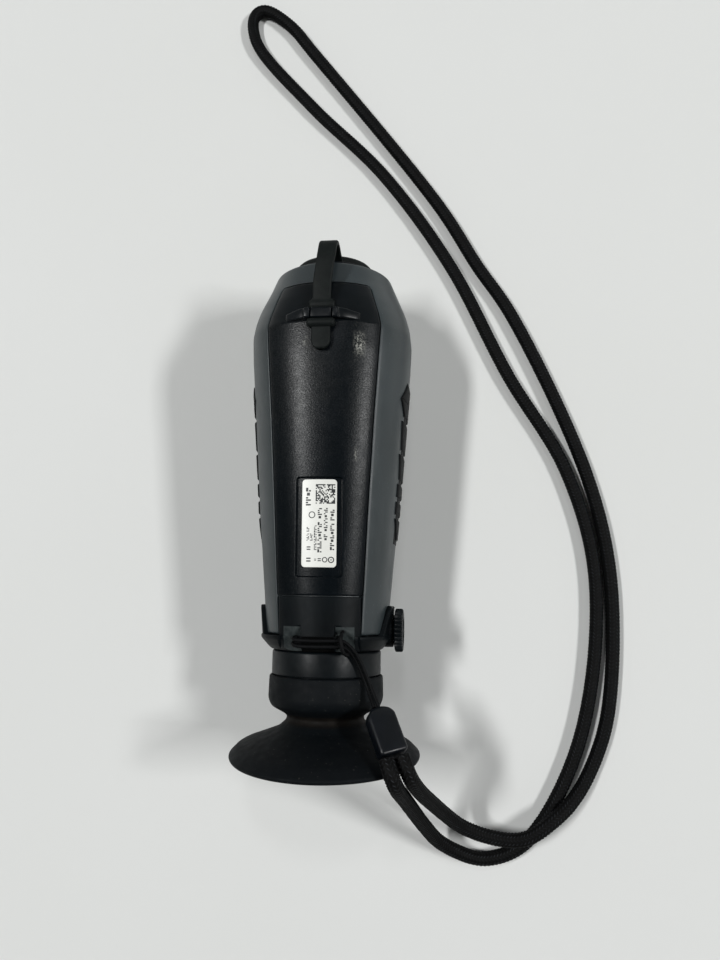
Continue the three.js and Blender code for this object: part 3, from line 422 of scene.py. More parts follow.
def shell_row(s):
    """Percents and heights of one ring of the shell, from crown to keel and back."""
    gap = GAP / 2
    edge, top_edge = 0.0, 100.0
    if s < PANEL_FRONT + gap:
        x = plan_half(PANEL_PLAN, s, -40, PANEL_FRONT + gap, PANEL_CORNER) + gap
        edge = percent_at(s, max(x, 0.5))
    if TOP_PANEL_REAR - gap < s < TOP_PANEL_FRONT + gap:
        x = plan_half(TOP_PANEL_PLAN, s, TOP_PANEL_REAR - gap, TOP_PANEL_FRONT + gap, TOP_CORNER) + gap
        top_edge = percent_at(s, max(x, 0.5), below=True)
    sunk, top_sunk = edge > 0, top_edge < 100
    rim = EDGE_STEPS * SHELL_EDGE
    fine = rim * 100 / np.interp(s, TABLE_S, GIRTH_LENGTH)
    drop = edge_drop(rim, SHELL_EDGE)
    percents = np.concatenate([
        np.linspace(0, max(edge - 0.02, 0), BED_COLUMNS), edge + fine,
        np.linspace(edge + fine[-1], top_edge - fine[-1], SHELL_COLUMNS + 2)[1:-1],
        (top_edge - fine)[::-1], np.linspace(min(top_edge + 0.02, 100), 100, BED_COLUMNS),
    ])
    heights = np.concatenate([
        np.full(BED_COLUMNS, -BED * sunk), -drop * sunk, np.zeros(SHELL_COLUMNS),
        -drop[::-1] * top_sunk, np.full(BED_COLUMNS, -BED * top_sunk),
    ])
    return np.concatenate([percents, -percents[-2:0:-1]]), np.concatenate([heights, heights[-2:0:-1]])


def add_armour_shell():
    ends = EDGE_STEPS * END_RADIUS
    stations = merged(
        SHELL_REAR + ends, SHELL_FRONT - ends, np.arange(-11, SHELL_FRONT - 1, 1.1),
        *(edge + STEP_STATIONS for edge in (PANEL_FRONT, TOP_PANEL_REAR, TOP_PANEL_FRONT)),
    )
    percents, heights = map(np.array, zip(*(shell_row(s) for s in stations)))
    s = np.broadcast_to(stations[:, None], percents.shape)
    ends = np.minimum(s - SHELL_REAR, SHELL_FRONT - s)
    outer = lifted(around, percents, s, heights - edge_drop(ends, END_RADIUS))
    inner = lifted(around, percents, s, np.full(s.shape, -SHELL_SKIN))
    shape = Shape()
    shape.grid(np.concatenate([outer, inner[::-1]]), wrap_rows=True, wrap_cols=True)
    build("armour_shell_skin", shape, slate_finish, "armour_shell")


# ---- underside panel

RECESS = {"rear": 6.7, "front": 39.9, "half": 7.8, "depth": 0.9, "corner": 0.8}
LABEL = {"rear": 9.9, "front": 39.2, "half": 5.9, "corner": 1.2, "thickness": 0.25, "edge": 0.12}
BRIDGE = {
    "rear": 94.2, "front": 97.5, "ceiling": 28.9, "crest": 30.4, "slot": 3.6, "post": 6.1, "wing": 13.0,
}
SLOT = {"rear": 90.8, "front": 100.2, "half": 3.6, "depth": 0.9, "corner": 1.0}
PANEL_EDGE = 0.45
PANEL_THICK = 2.2
PANEL_EDGE_SHARES = np.linspace(0, 1, 7)[1:]  # from the last fixed column to the panel's edge


def inside_rounded(x, s, rear, front, half, corner):
    """Distance inside the edge of a rectangle with rounded corners; negative outside."""
    middle, reach = (rear + front) / 2, (front - rear) / 2
    over_x, over_s = np.abs(x) - half + corner, np.abs(s - middle) - reach + corner
    outside = np.hypot(np.maximum(over_x, 0), np.maximum(over_s, 0))
    return corner - outside - np.minimum(np.maximum(over_x, over_s), 0)


def panel_stations():
    ends = EDGE_STEPS * PANEL_EDGE
    corner = np.array([0.65, 0.9, 1.2, 1.6, 2.2])
    recess_edge, slot_edge = np.arange(-0.3, 2.0, 0.12), np.arange(-0.3, 0.5, 0.12)
    return merged(
        PANEL_REAR + ends, PANEL_REAR + corner, PANEL_FRONT - ends, PANEL_FRONT - corner,
        np.arange(3.5, 106, 0.9), RECESS["rear"] + recess_edge, RECESS["front"] - recess_edge,
        SLOT["rear"] + slot_edge, SLOT["front"] + slot_edge, CREASE_S + np.arange(-1.2, 1.3, 0.2),
    )


def panel_columns():
    """Columns at fixed x, finest at the edges of the slot and of the label's recess."""
    return merged(
        np.arange(0, 3.3, 0.55), np.arange(3.3, 4.0, 0.12), [4.4, 4.9, 5.4],
        np.arange(5.7, 8.0, 0.12), [8.3, 8.8, 9.4],
    )


def add_bottom_panel():
    stations, fixed = panel_stations(), panel_columns()
    half = plan_half(PANEL_PLAN, stations, PANEL_REAR, PANEL_FRONT, PANEL_CORNER)[:, None] - GAP / 2
    x = mirrored(np.concatenate([
        np.broadcast_to(fixed, (len(stations), len(fixed))),
        fixed[-1] + (half - PANEL_EDGE - fixed[-1]) * PANEL_EDGE_SHARES,
        half - (EDGE_STEPS * PANEL_EDGE)[::-1][1:],
    ], 1))
    s = np.broadcast_to(stations[:, None], x.shape)
    edge = np.minimum(half - np.abs(x), np.minimum(s - PANEL_REAR, PANEL_FRONT - s))
    drop = edge_drop(np.maximum(edge, 0), PANEL_EDGE)
    into = inside_rounded(x, s, RECESS["rear"], RECESS["front"], RECESS["half"], RECESS["corner"])
    drop = drop + RECESS["depth"] * smoothstep(-0.12, 0.24, into)
    into = inside_rounded(x, s, SLOT["rear"], SLOT["front"], SLOT["half"], SLOT["corner"])
    ramp = smoothstep(SLOT["rear"], SLOT["rear"] + 1.8, s)
    drop = drop + SLOT["depth"] * smoothstep(-0.12, 0.3, into) * ramp
    shape = Shape()
    shape.slab(lifted(crown, x, s, -drop), lifted(crown, x, s, np.full(x.shape, -PANEL_THICK)))
    add_strap_bridge(shape)
    build("bottom_panel_skin", shape, panel_finish, "bottom_panel", sharp=40)


def bar_ring(rear, front, low, high, radius=0.55, steps=4):
    """One section of a bar that runs across, with its upper corners rounded."""
    points = [(rear, low)]
    quarter = math.pi / 2
    for middle, start in ((rear + radius, 2 * quarter), (front - radius, quarter)):
        for turn in np.linspace(start, start - quarter, steps):
            points.append((middle + radius * math.cos(turn), high - radius + radius * math.sin(turn)))
    return points + [(front, low)]


def add_strap_bridge(shape):
    """The raised bar over the slot; its wings slope down to the panel on both sides."""
    slot, post, wing = BRIDGE["slot"], BRIDGE["post"], BRIDGE["wing"]
    groove = slot + 0.15
    right = np.concatenate([
        [0, 2.0], groove + np.array([-0.5, -0.3, -0.2, 0, 0.2, 0.3, 0.5]), [4.9],
        post + np.array([-0.6, -0.3, 0, 0.1, 0.3]), np.linspace(post + 0.9, wing - 0.8, 9),
        wing - np.array([0.4, 0.12, 0]),
    ])
    rings = []
    for x in mirrored(right):
        side = abs(x)
        slope = 5 * smoothstep(post - 1.0, wing + 5.5, side)
        high = BRIDGE["crest"] - slope - edge_drop(np.clip(wing - side, 0, 1), 0.8)
        high = high - 0.8 * smoothstep(0.32, 0.12, abs(side - groove))
        high = high - 0.7 * smoothstep(post - 0.4, post + 0.2, side)
        ground = crown(np.float64(side), np.float64(96.0))[2] - 0.9
        low = min(BRIDGE["ceiling"] if side < slot else ground, high - 0.7)
        taper = smoothstep(post, wing, side)
        ring = bar_ring(BRIDGE["rear"] - 0.1 * taper, BRIDGE["front"] + 0.4 - taper, low, high)
        rings.append([(x, s, z) for s, z in ring])
    shape.grid(rings, wrap_cols=True, caps=True)


# ---- label

def label_surface(x, s, lift=0.0):
    """Points of the recess's floor, lifted by some height."""
    points = crown(x, s)
    points[..., 2] += lift - RECESS["depth"]
    return points


def add_label():
    rear, front, half, edge = LABEL["rear"], LABEL["front"], LABEL["half"], LABEL["edge"]
    ends = EDGE_STEPS * edge
    corner = np.array([0.2, 0.35, 0.6, 0.9, 1.2])
    stations = merged(rear + ends, rear + corner, front - ends, front - corner, np.arange(12, 38.2, 0.8))
    halves = plan_half(np.array([[0, half], [60, half]]), stations, rear, front, LABEL["corner"])[:, None]
    x = halves * np.concatenate([-1 + ends / 6, np.linspace(-0.95, 0.95, 25), 1 - ends[::-1] / 6])
    s = np.broadcast_to(stations[:, None], x.shape)
    inside = np.minimum(halves - np.abs(x), np.minimum(s - rear, front - s))
    shape = Shape()
    shape.slab(label_surface(x, s, LABEL["thickness"] - edge_drop(np.maximum(inside, 0), edge)),
               label_surface(x, s, -0.1))
    build("label_film_sheet", shape, label_finish, "label")
    add_label_print()


INK = 0.03


def ink_patch(shape, x0, x1, s0, s1):
    """A thin printed patch that lies on the label."""
    x, s = np.meshgrid(np.linspace(x0, x1, 3), np.linspace(s0, s1, 3))
    shape.slab(*(label_surface(x, s, LABEL["thickness"] + lift) for lift in (INK, -INK)))


def ink_ring(shape, x, s, outer, inner):
    angle = circle(24)
    radius = np.array([[outer], [inner], [inner], [outer]])
    lift = LABEL["thickness"] + np.array([[INK], [INK], [-INK], [-INK]])
    points = label_surface(x + radius * np.cos(angle), s + radius * np.sin(angle), lift)
    shape.grid(points, wrap_rows=True, wrap_cols=True)


# Bars and blocks that stand for one character each: (left, right, from, to) as shares of its size.
MARKS = (
    ((0, 1, 0, 0.3), (0, 0.45, 0.45, 0.75)),
    ((0, 1, 0, 0.3), (0.55, 1, 0.45, 0.75)),
    ((0, 0.45, 0, 0.75), (0.6, 1, 0, 0.3)),
    ((0, 0.4, 0, 0.3), (0.3, 1, 0.45, 0.75)),
    ((0.2, 0.8, 0.1, 0.7),),
)
# Lengthwise lines of marks: (x, rear, front, size).
PRINT_LINES = (
    (4.5, 15.6, 30.0, 1.4), (2.3, 18.7, 30.0, 1.25), (0.3, 14.8, 30.0, 1.4), (-1.15, 15.6, 24.5, 0.9),
    (-2.5, 18.7, 22.2, 0.9), (-3.7, 18.7, 23.2, 0.9), (-3.7, 30.4, 37.4, 1.7),
)
CODE_SQUARE = {"left": -1.2, "rear": 31.0, "cell": 0.41, "cells": 16}
SYMBOL_RINGS = ((-2.4, 27.3, 1.15, 0.85), (4.2, 12.4, 1.05, 0.7), (2.1, 12.4, 0.9, 0.6))
SYMBOL_BLOCKS = ((4.2, 12.4, 0.5), (0.3, 12.4, 1.1), (-1.1, 12.4, 0.7), (-3.4, 12.4, 1.5), (-3.4, 16.2, 1.3))


def print_line(shape, rng, x, rear, front, size):
    """A lengthwise line of marks that spell nothing."""
    at = rear
    while at < front - size * 0.7:
        for left, right, low, high in MARKS[rng.integers(len(MARKS))]:
            across = x + (left - 0.5) * size, x + (right - 0.5) * size
            ink_patch(shape, *across, at + low * size, at + high * size)
        at += size * (0.92 if rng.random() < 0.85 else 1.5)


def add_label_print():
    """Blocks, bars and rings with no meaning in place of the label's print."""
    rng = np.random.default_rng(7)
    shape = Shape()
    cell, last = CODE_SQUARE["cell"], CODE_SQUARE["cells"] - 1
    for row in range(last + 1):
        for col in range(last + 1):
            framed = row in (0, last) or col in (0, last)
            if rng.random() < (0.75 if framed else 0.52):
                x, s = CODE_SQUARE["left"] + col * cell, CODE_SQUARE["rear"] + row * cell
                ink_patch(shape, x, x + cell, s, s + cell)
    for line in PRINT_LINES:
        print_line(shape, rng, *line)
    for ring in SYMBOL_RINGS:
        ink_ring(shape, *ring)
    for x, s, size in SYMBOL_BLOCKS:
        for low, high in ((-0.45, -0.15), (0.15, 0.45)):
            ink_patch(shape, x - size / 2, x + size / 2, s + size * low, s + size * high)
    build("label_print", shape, ink_finish)


# ---- side grips

GRIP = {
    "ends": (19.0, 77.8), "half": 5.5, "base": 0.12, "base_edge": 0.3, "proud": 0.6, "edge": 0.6, "sunk": 0.6,
}
# Rear and front station and the half heights there of each pad.
GRIP_PADS = (
    (20.5, 28.0, 2.5, 7.0), (29.4, 34.0, 7.0, 7.0), (35.6, 40.4, 7.0, 7.0), (42.0, 51.0, 6.0, 8.0),
    (52.6, 63.0, 6.5, 8.5), (64.8, 70.4, 6.5, 11.5), (70.4, 77.0, 11.5, 5.5),
)


def patch_plan(along, half, edge, columns):
    """Stations and heights over a patch of a flank, and how far its rounded edge drops there."""
    half = half[:, None]
    inner = np.linspace(0, 1, columns)[:-1] * (half - edge)
    z = mirrored(np.concatenate([inner, half - (EDGE_STEPS * edge)[::-1]], 1))
    s = np.broadcast_to(along[:, None], z.shape)
    inside = np.minimum(half - np.abs(z), np.minimum(s - along[0], along[-1] - s))
    return s, z, edge_drop(np.maximum(inside, 0), edge)


def pillow(shape, surface, ends, halves, proud, sunk, edge):
    """A raised patch with rounded edges; ends are its stations, and halves its half heights there."""
    rear, front = ends
    steps = EDGE_STEPS * edge
    along = merged(rear + steps, front - steps, np.linspace(rear + edge, front - edge, 8))
    s, z, drop = patch_plan(along, np.interp(along, ends, halves), edge, 9)
    shape.slab(lifted(surface, s, z, proud - drop), lifted(surface, s, z, np.full(z.shape, -sunk)))


def add_side_grip(side, node):
    shape = Shape()
    surface, half, sunk = flank(side), GRIP["half"], GRIP["sunk"]
    pillow(shape, surface, GRIP["ends"], (half, half), GRIP["base"], sunk, GRIP["base_edge"])
    for *ends, rear_half, front_half in GRIP_PADS:
        pillow(shape, surface, ends, (rear_half, front_half), GRIP["proud"], sunk, GRIP["edge"])
    build(f"{node}_skin", shape, grip_finish, node)


# ---- rear collar

POCKET = {"near": 5.7, "far": 12.1, "front": -9.2, "floor": 17.9}
TUNNEL = {"rear": -15.9, "front": -12.0, "ceiling": 20.0, "half": 6.7}
TONGUE_STEP = {"s": -12.7, "height": 21.2}
DECK_HALF, DECK_EDGE = 13.9, 0.4
BORE = 16.9
HOOP_TOP = 17.2  # where the hoop lies under the deck
EAR = {"rear": -13.3, "tip": -4.0, "front": -2.6, "halves": (10.0, 6.5, 4.5), "edge": 0.4, "sunk": 0.8}
EAR_THICKNESS = {1: 1.7, -1: 1.5}
PORT = {"rear": -12.3, "front": -4.0, "half": 3.7, "corner": 0.6, "floor": 0.35, "proud": 1.45, "edge": 0.5}
BOSS = ((20.5, 5.9), (23.3, 5.9), (23.65, 5.75), (23.8, 5.4), (23.8, 3.2), (20.5, 3.2))  # x and radius


def deck_height(x, s):
    """Height of the apron and of the ledge behind it, with the two lanyard pockets let in."""
    behind = np.clip((s - COLLAR_REAR) / (COLLAR_FRONT - COLLAR_REAR), 0, 1)
    half, under, square = underside_section(COLLAR, np.minimum(s, COLLAR_FRONT), 0.3)
    ledge = arc_height(x, half, under, square)
    apron = crown(x, np.maximum(s, COLLAR_FRONT))[..., 2]
    height = np.where(s < COLLAR_FRONT, ledge, apron)
    side = np.abs(x)
    tongue = (side < POCKET["near"]) & (s < TONGUE_STEP["s"])
    height = np.where(tongue, np.minimum(height, TONGUE_STEP["height"] - 1.2 * (1 - behind) ** 2), height)
    into = np.minimum(side - POCKET["near"], POCKET["far"] - side)
    into = np.minimum(into, (POCKET["front"] - s) * 0.8)
    floor = POCKET["floor"] + 3.4 * smoothstep(-15.5, POCKET["front"], s)
    return height + (np.minimum(floor, height) - height) * smoothstep(-0.1, 0.25, into)


def add_deck(shape):
    """The apron and the ledge behind it, hollowed by the bore and by the lanyard's tunnel."""
    steps = EDGE_STEPS * DECK_EDGE
    stations = merged(
        COLLAR_REAR + EDGE_STEPS * 0.5, np.arange(-17, 0, 0.45), COLLAR_FRONT + np.array([-0.05, 0.05, 0.2]),
        POCKET["front"] + np.arange(-0.6, 0.3, 0.15), PANEL_REAR - GAP - steps,
    )
    right = merged(
        np.linspace(0, 5.2, 8), POCKET["near"] + np.arange(-0.3, 0.5, 0.1), np.linspace(6.4, 11.6, 9),
        POCKET["far"] + np.arange(-0.5, 0.3, 0.1), DECK_HALF - steps,
    )
    x, s = np.meshgrid(mirrored(right), stations)
    inside = np.minimum(DECK_HALF - np.abs(x), np.minimum(s - COLLAR_REAR, PANEL_REAR - GAP - s))
    height = deck_height(x, s) - edge_drop(np.maximum(inside, 0), DECK_EDGE)
    hollow = (np.abs(x) < TUNNEL["half"]) & (s > TUNNEL["rear"]) & (s < TUNNEL["front"])
    bore = np.minimum(np.sqrt(BORE**2 - x**2), height - 0.5)
    under = np.where(hollow, np.minimum(TUNNEL["ceiling"], height - 0.6), bore)
    shape.slab(np.stack([x, s, height], -1), np.stack([x, s, under], -1))


def add_hoop(shape):
    """The ring behind the shell; its crown is left to the deck."""
    stations = merged(
        COLLAR_REAR + EDGE_STEPS * 0.4, [-17, -16.8, -16.4, -16, -15, -14.2, -13.8, -13.4, -13],
        COLLAR_FRONT - EDGE_STEPS * 0.3,
    )
    angle = circle(180)
    across, up = np.cos(angle), np.sin(angle)
    outer, inner = [], []
    for s in stations:
        half, under, top, square = section(COLLAR, np.float64(s), 0.15)
        x = half * np.sign(across) * np.abs(across) ** (2 / square)
        z = np.where(up > 0, under, top) * np.sign(up) * np.abs(up) ** (2 / square)
        radius = np.hypot(x, z)
        reach = radius - edge_drop(min(s - COLLAR_REAR, COLLAR_FRONT - s), 0.35)
        reach = np.where((np.abs(x) < DECK_HALF - 0.6) & (z > 0), HOOP_TOP, reach) / radius
        outer.append(np.stack([x * reach, np.full_like(x, s), z * reach], -1))
        inner.append(np.stack([BORE * across, np.full_like(x, s), BORE * up], -1))
    shape.grid(outer + inner[::-1], wrap_rows=True, wrap_cols=True)


def add_ear(shape, side):
    """A flat lug that stands on the shell beside the eyepiece; the left one has the port's bed."""
    rear, tip, front, edge = EAR["rear"], EAR["tip"], EAR["front"], EAR["edge"]
    steps, thickness, surface = EDGE_STEPS * edge, EAR_THICKNESS[side], flank(side)
    along = merged(rear + steps, np.linspace(rear + 0.5, tip - 0.2, 12), [tip], front - steps)
    s, z, drop = patch_plan(along, np.interp(along, [rear, tip, front], EAR["halves"]), edge, 10)
    height = thickness - drop
    if side < 0:
        port = inside_rounded(z, s, PORT["rear"], PORT["front"], PORT["half"], PORT["corner"])
        height = height - (thickness - PORT["floor"]) * smoothstep(-0.05, 0.1, port)
    shape.slab(lifted(surface, s, z, height), lifted(surface, s, z, np.full(z.shape, -EAR["sunk"])))


def add_boss(shape):
    """The round seat of the focus knob's bushing."""
    x, radius = np.array(BOSS).T
    rings = turned_across(x, radius[:, None].repeat(48, 1), KNOB["s"])
    shape.grid(rings, wrap_rows=True, wrap_cols=True)


def add_rear_collar():
    shape = Shape()
    add_hoop(shape)
    add_deck(shape)
    add_ear(shape, 1)
    add_ear(shape, -1)
    add_boss(shape)
    places = np.concatenate(shape.points)
    side, s, z = np.abs(places[:, 0]), places[:, 1], places[:, 2]
    near, far = POCKET["near"], POCKET["far"]
    # The first mask is the sloping pocket floors, painted paler as painted light; the second is the step under
    # the tongue, which gets a painted shadow.
    lightened = (side > near + 0.1) & (side < far - 0.1) & (s < POCKET["front"] - 0.4) & (z > BORE)
    gap = (side < near - 0.2) & (s < TONGUE_STEP["s"] - 0.1) & (z > 14)
    masks = {"lightened": lightened, "gap": gap}
    build("rear_collar_skin", shape, collar_finish, "rear_collar", sharp=35, masks=masks)


def add_port_cover():
    shape = Shape()
    ends, half = (PORT["rear"] + GAP, PORT["front"] - GAP), PORT["half"] - GAP
    pillow(shape, flank(-1), ends, (half, half), PORT["proud"], -PORT["edge"], PORT["edge"])
    build("port_cover_skin", shape, key_finish, "port_cover", body="port_flap")


# ---- eyepiece and nose

BARREL = (
    (14.7, -34.5), (17.6, -34.5), (17.6, -26.3), (19.2, -26.3), (19.2, -18.6), (18.7, -18.1),
    (16.6, -18.1), (16.6, -13.4), (14.7, -13.4),
)
BEZEL = ((14.9, 113.6), (17.3, 113.6), (17.3, 120.5), (14.9, 120.5))
EYECUP_PROFILE = (
    (17.9, -26.6), (20.0, -26.6), (20.2, -34.6), (19.2, -37.1), (14.6, -39.6), (13.4, -40.8), (13.8, -42.2),
    (16.6, -44.7), (24.6, -48.0), (30.6, -50.5), (33.3, -53.2), (32.5, -54.7), (30.6, -53.9), (24.6, -50.2),
    (16.4, -46.3), (12.6, -42.8), (11.7, -40.4), (11.7, -35.0), (17.9, -35.0),
)
CAP_PROFILE = (
    (0.4, 117.2), (12.8, 117.2), (13.4, 117.3), (14.3, 118), (14.6, 118.5), (14.6, 122.9), (14.4, 123.5),
    (13.9, 124.0), (13.2, 124.3), (10.3, 124.3), (10.0, 124.2), (9.7, 123.8), (9.4, 123.7), (0.4, 123.7),
)
# Radii of the flare, where it starts, and how far it leans back for each millimetre of height.
FLARE = {"root": 14.0, "rim": 33.3, "s": -41.0, "lean": 0.075}


def add_black_ring(node, profile, corner):
    shape = Shape()
    shape.grid(turned(rounded(profile, corner), 128), wrap_rows=True, wrap_cols=True)
    build(f"{node}_skin", shape, satin_finish, node)


def add_eyecup():
    """The soft flare leans back and is pressed flat where it meets the table."""
    x, s, z = np.moveaxis(turned(rounded(EYECUP_PROFILE, 1.2, 7), 192), -1, 0)
    reach = np.clip((np.hypot(x, z) - FLARE["root"]) / (FLARE["rim"] - FLARE["root"]), 0, 1)
    s = np.where(s < FLARE["s"], s - FLARE["lean"] * z * reach, s)
    shape = Shape()
    shape.grid(np.stack([x, s, np.maximum(z, -AXIS_Z)], -1), wrap_rows=True, wrap_cols=True)
    build("eyecup_skin", shape, cup_finish, "eyecup", sharp=50)


def add_lens_cap():
    shape = Shape()
    shape.grid(turned(CAP_PROFILE, 96), wrap_cols=True, caps=True)
    build("lens_cap_skin", shape, strap_finish, "lens_cap", body="cap")


KNOB = {"s": -11.0, "inner": 24.2, "outer": 27.2, "teeth": 32, "depth": 0.55}
# Distance outwards from the knob's inner or outer face, radius, and share of the ridges' depth.
KNOB_INNER = (
    (0.9, 2.0, 0), (-0.7, 2.2, 0), (-0.7, 2.9, 0), (0, 3.0, 0), (0, 6.0, 0), (0.05, 6.9, 0.4), (0.3, 7.4, 1),
    (0.5, 7.5, 1),
)
KNOB_OUTER = (
    (-0.5, 7.5, 1), (-0.3, 7.4, 1), (-0.05, 6.9, 0.4), (0, 6.4, 0), (0, 4.9, 0), (-0.1, 4.7, 0),
    (-0.45, 4.55, 0), (-0.5, 4.2, 0), (-0.5, 0.3, 0),
)


def add_focus_knob():
    """A drum turned round an axis that runs across the camera, with a ridged rim."""
    teeth, points_per_tooth = KNOB["teeth"], 8
    angle = circle(teeth * points_per_tooth)
    ridge = KNOB["depth"] * (0.5 - 0.5 * np.cos(angle * teeth)) ** 0.6
    x, radius, share = np.array(KNOB_INNER + KNOB_OUTER).T[..., None]
    x[: len(KNOB_INNER)] += KNOB["inner"]
    x[len(KNOB_INNER) :] += KNOB["outer"]
    shape = Shape()
    shape.grid(turned_across(x[:, 0], radius - ridge * share, KNOB["s"]), wrap_cols=True, caps=True)
    build("focus_knob_skin", shape, satin_finish, "focus_knob", body="focus_drive")


# ---- cap strap

STRAP_LINE = (
    (121.6, 13.2), (122, 15), (122.7, 17.6), (123.6, 21), (123.6, 24.6), (121.6, 27.8), (117.4, 29.3),
    (110, 29.4), (104, 28.9), (100, 28.45), (97, 28.15), (94.2, 28.05), (92.6, 28.3),
)
STRAP = {
    "half": 3.25, "thick": 1.7, "shoulder": 4.5, "neck": 3.0, "neck_thick": 1.15, "lean": 1.6,
    "ridge": 0.5, "ridge_s": 99.4, "shoulder_s": 101.6, "hook_z": 27.0,
}
BEAD = {"s": 92.4, "z": 29.7, "x": (0, 3.4, 4.1, 4.6, 4.85, 4.9), "radius": (1.62, 1.62, 1.55, 1.3, 0.9, 0.5)}
TAIL = {"tip": 83.2, "round_s": 86.3, "front": 92.2, "half": 3.3, "middle": 29.3, "thick": 1.6}


def ribbon_ring(middle, normal, half, thick, sag=0.0):
    """One section of a flat band with rounded long edges."""
    radius = thick / 2 * 0.75
    ring = []
    for side, turns in ((1, (90, 60, 30, 0, -30, -60, -90)), (-1, (-90, -60, -30, 0, 30, 60, 90))):
        for turn in np.radians(turns):
            x = side * (half - radius + radius * math.cos(turn))
            out = (thick / 2 - radius) * np.sign(math.sin(turn)) + radius * math.sin(turn)
            ring.append((x, middle[0] + normal[0] * out, middle[1] + normal[1] * out))
    return ring


def strap_size(s, z):
    """Half width and thickness of the strap, which widens to a shoulder before the bridge."""
    half, thick = STRAP["half"], STRAP["thick"]
    if s > STRAP["shoulder_s"] or z < STRAP["hook_z"]:
        return half, thick
    half += (STRAP["shoulder"] - half) * smoothstep(STRAP["shoulder_s"], 100.2, s)
    half += (STRAP["neck"] - half) * smoothstep(98.3, 97.6, s)
    thick += (STRAP["neck_thick"] - thick) * smoothstep(98.8, 97.4, s)
    return half, thick + STRAP["ridge"] * smoothstep(1.3, 0.3, abs(s - STRAP["ridge_s"]))


def add_cap_strap():
    line = spline([(0, s, z) for s, z in STRAP_LINE], 110)[:, 1:]
    tangent = np.gradient(line, axis=0)
    tangent /= np.linalg.norm(tangent, axis=1, keepdims=True)
    rings = []
    for (s, z), (ds, dz) in zip(line, tangent):
        lean = STRAP["lean"] * smoothstep(104, 122, s)
        ring = ribbon_ring((s, z), (dz, -ds), *strap_size(s, z))
        rings.append([(x + lean, *rest) for x, *rest in ring])
    shape = Shape()
    shape.grid(rings, wrap_cols=True, caps=True)
    add_strap_tail(shape)
    strap = build("cap_strap_band", shape, strap_finish, "cap_strap", body=None)
    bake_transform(strap)


def add_strap_tail(shape):
    """The bead that stops the strap at the bridge, and the pull tab behind it."""
    x = mirrored(np.array(BEAD["x"]))
    radius = np.interp(np.abs(x), BEAD["x"], BEAD["radius"])[:, None].repeat(24, 1)
    shape.grid(turned_across(x, radius, BEAD["s"], BEAD["z"]), wrap_cols=True, caps=True)
    tip, full = TAIL["tip"], TAIL["half"]
    rings = []
    for s in np.concatenate([tip + EDGE_STEPS * 0.8, np.linspace(tip + 1.1, TAIL["front"], 14)]):
        short = max(TAIL["round_s"] - s, 0)
        half = math.sqrt(max(full**2 - short**2, 0.3**2))
        thick = TAIL["thick"] - 2 * edge_drop(max(s - tip, 0.0), 0.7)
        rings.append(ribbon_ring((s, TAIL["middle"]), (0, 1), half, max(thick, 0.3)))
    shape.grid(rings, wrap_cols=True, caps=True)


# ---- lanyard

# Points of the two cords as (x, s, height above the table), the same as in the part's source.
REST = 2.75
LANYARD_ROUTE = (
    (28.1, -48.8, 56.7), (29.2, -51.4, 58), (30.4, -54.2, 57.8), (31.6, -57.6, 53.2), (33.9, -62.3, 45.5),
    (37.3, -68, 34.5), (42, -74.8, 22.5), (48.1, -81.1, 13.5), (59.1, -85.7, 8.6), (70.2, -86, 8.4),
    (80, -79.8, 8), (88.5, -72.6, 5), (96.6, -59.7, REST), (102.6, -41.2, REST), (105.3, 8.4, REST),
    (97.8, 48.6, REST), (69.3, 116.5, REST), (55.6, 138.4, REST), (40.2, 165.3, REST), (-18.2, 245.2, REST),
    (-27.2, 257.2, REST), (-40.4, 266.6, REST), (-44.4, 264.1, REST), (-43.5, 251, REST), (-16.5, 216.2, REST),
    (15.2, 182.3, REST), (44.4, 138.8, REST), (67.7, 90.4, REST), (89.7, 51, REST), (99.6, 8.3, REST),
    (91.5, -52.8, REST), (70.7, -89, REST), (55.7, -95, REST + 0.1), (48.3, -93.1, 4.4), (39.8, -87.5, 10.5),
    (35.3, -80.6, 19.5), (28.9, -65.6, 43), (25.8, -56, 60.7), (24.6, -52.4, 61.4), (23.5, -49.8, 59.2),
)
TETHER_ROUTE = (
    (18.8, -35.1, 51.7), (15.9, -28.5, 48.6), (12.6, -21, 49.9), (10.6, -17.6, 52.6), (8.6, -16, 54.3),
    (5.8, -15.9, 54.9), (0, -16, 54.9), (-5.6, -15.9, 54.8), (-7.9, -15.6, 53.8), (-8.4, -15, 52.3),
    (-7, -14.9, 51.7), (-5, -14.9, 51.6), (0, -14.9, 51.6), (5.4, -14.9, 51.6), (7.6, -15.2, 51.7),
    (9.4, -17.2, 52.2), (10, -18.4, 53.8), (8.9, -17.6, 55.9), (8.3, -15, 56.7), (8.1, -12.4, 56.2),
    (8.4, -11.1, 54.4), (8, -11.5, 52.3), (6.6, -12.7, 51.7), (5, -13.1, 51.6), (0, -13.1, 51.6),
    (-5, -13.1, 51.6), (-7, -13.1, 51.8), (-8.2, -13.3, 52.8), (-7.6, -13.8, 54.3), (-5.6, -14, 54.9),
    (0, -14.1, 54.9), (5.8, -14, 54.9), (8.6, -14.2, 54.5), (11.2, -16.3, 53), (13.7, -20.3, 50.6),
    (17, -27.8, 49.2), (20.2, -34.8, 51),
)
LANYARD_DIAMETER, TETHER_DIAMETER = 5.3, 1.3
BRAID = {
    "step": 0.32, "around": 48, "lanes": 12, "pitch": 1.35, "relief": 0.34, "slant": 0.5, "ease": 22,
}
TWIST = {"points": 700, "around": 14, "relief": 0.05, "strands": 3, "pitch": 4.2}


def over_axis(route):
    """The route with its heights measured from the optical axis."""
    return np.array(route, float) - [0, 0, AXIS_Z]


def eased(path, reach):
    """The path with its tightest bends spread over some points on either side, and its ends kept."""
    window = np.hanning(2 * reach + 3)[1:-1]
    before, after = 2 * path[0] - path[reach:0:-1], 2 * path[-1] - path[-2 : -reach - 2 : -1]
    padded = np.concatenate([before, path, after])
    return np.stack([np.convolve(column, window / window.sum(), "valid") for column in padded.T], -1)


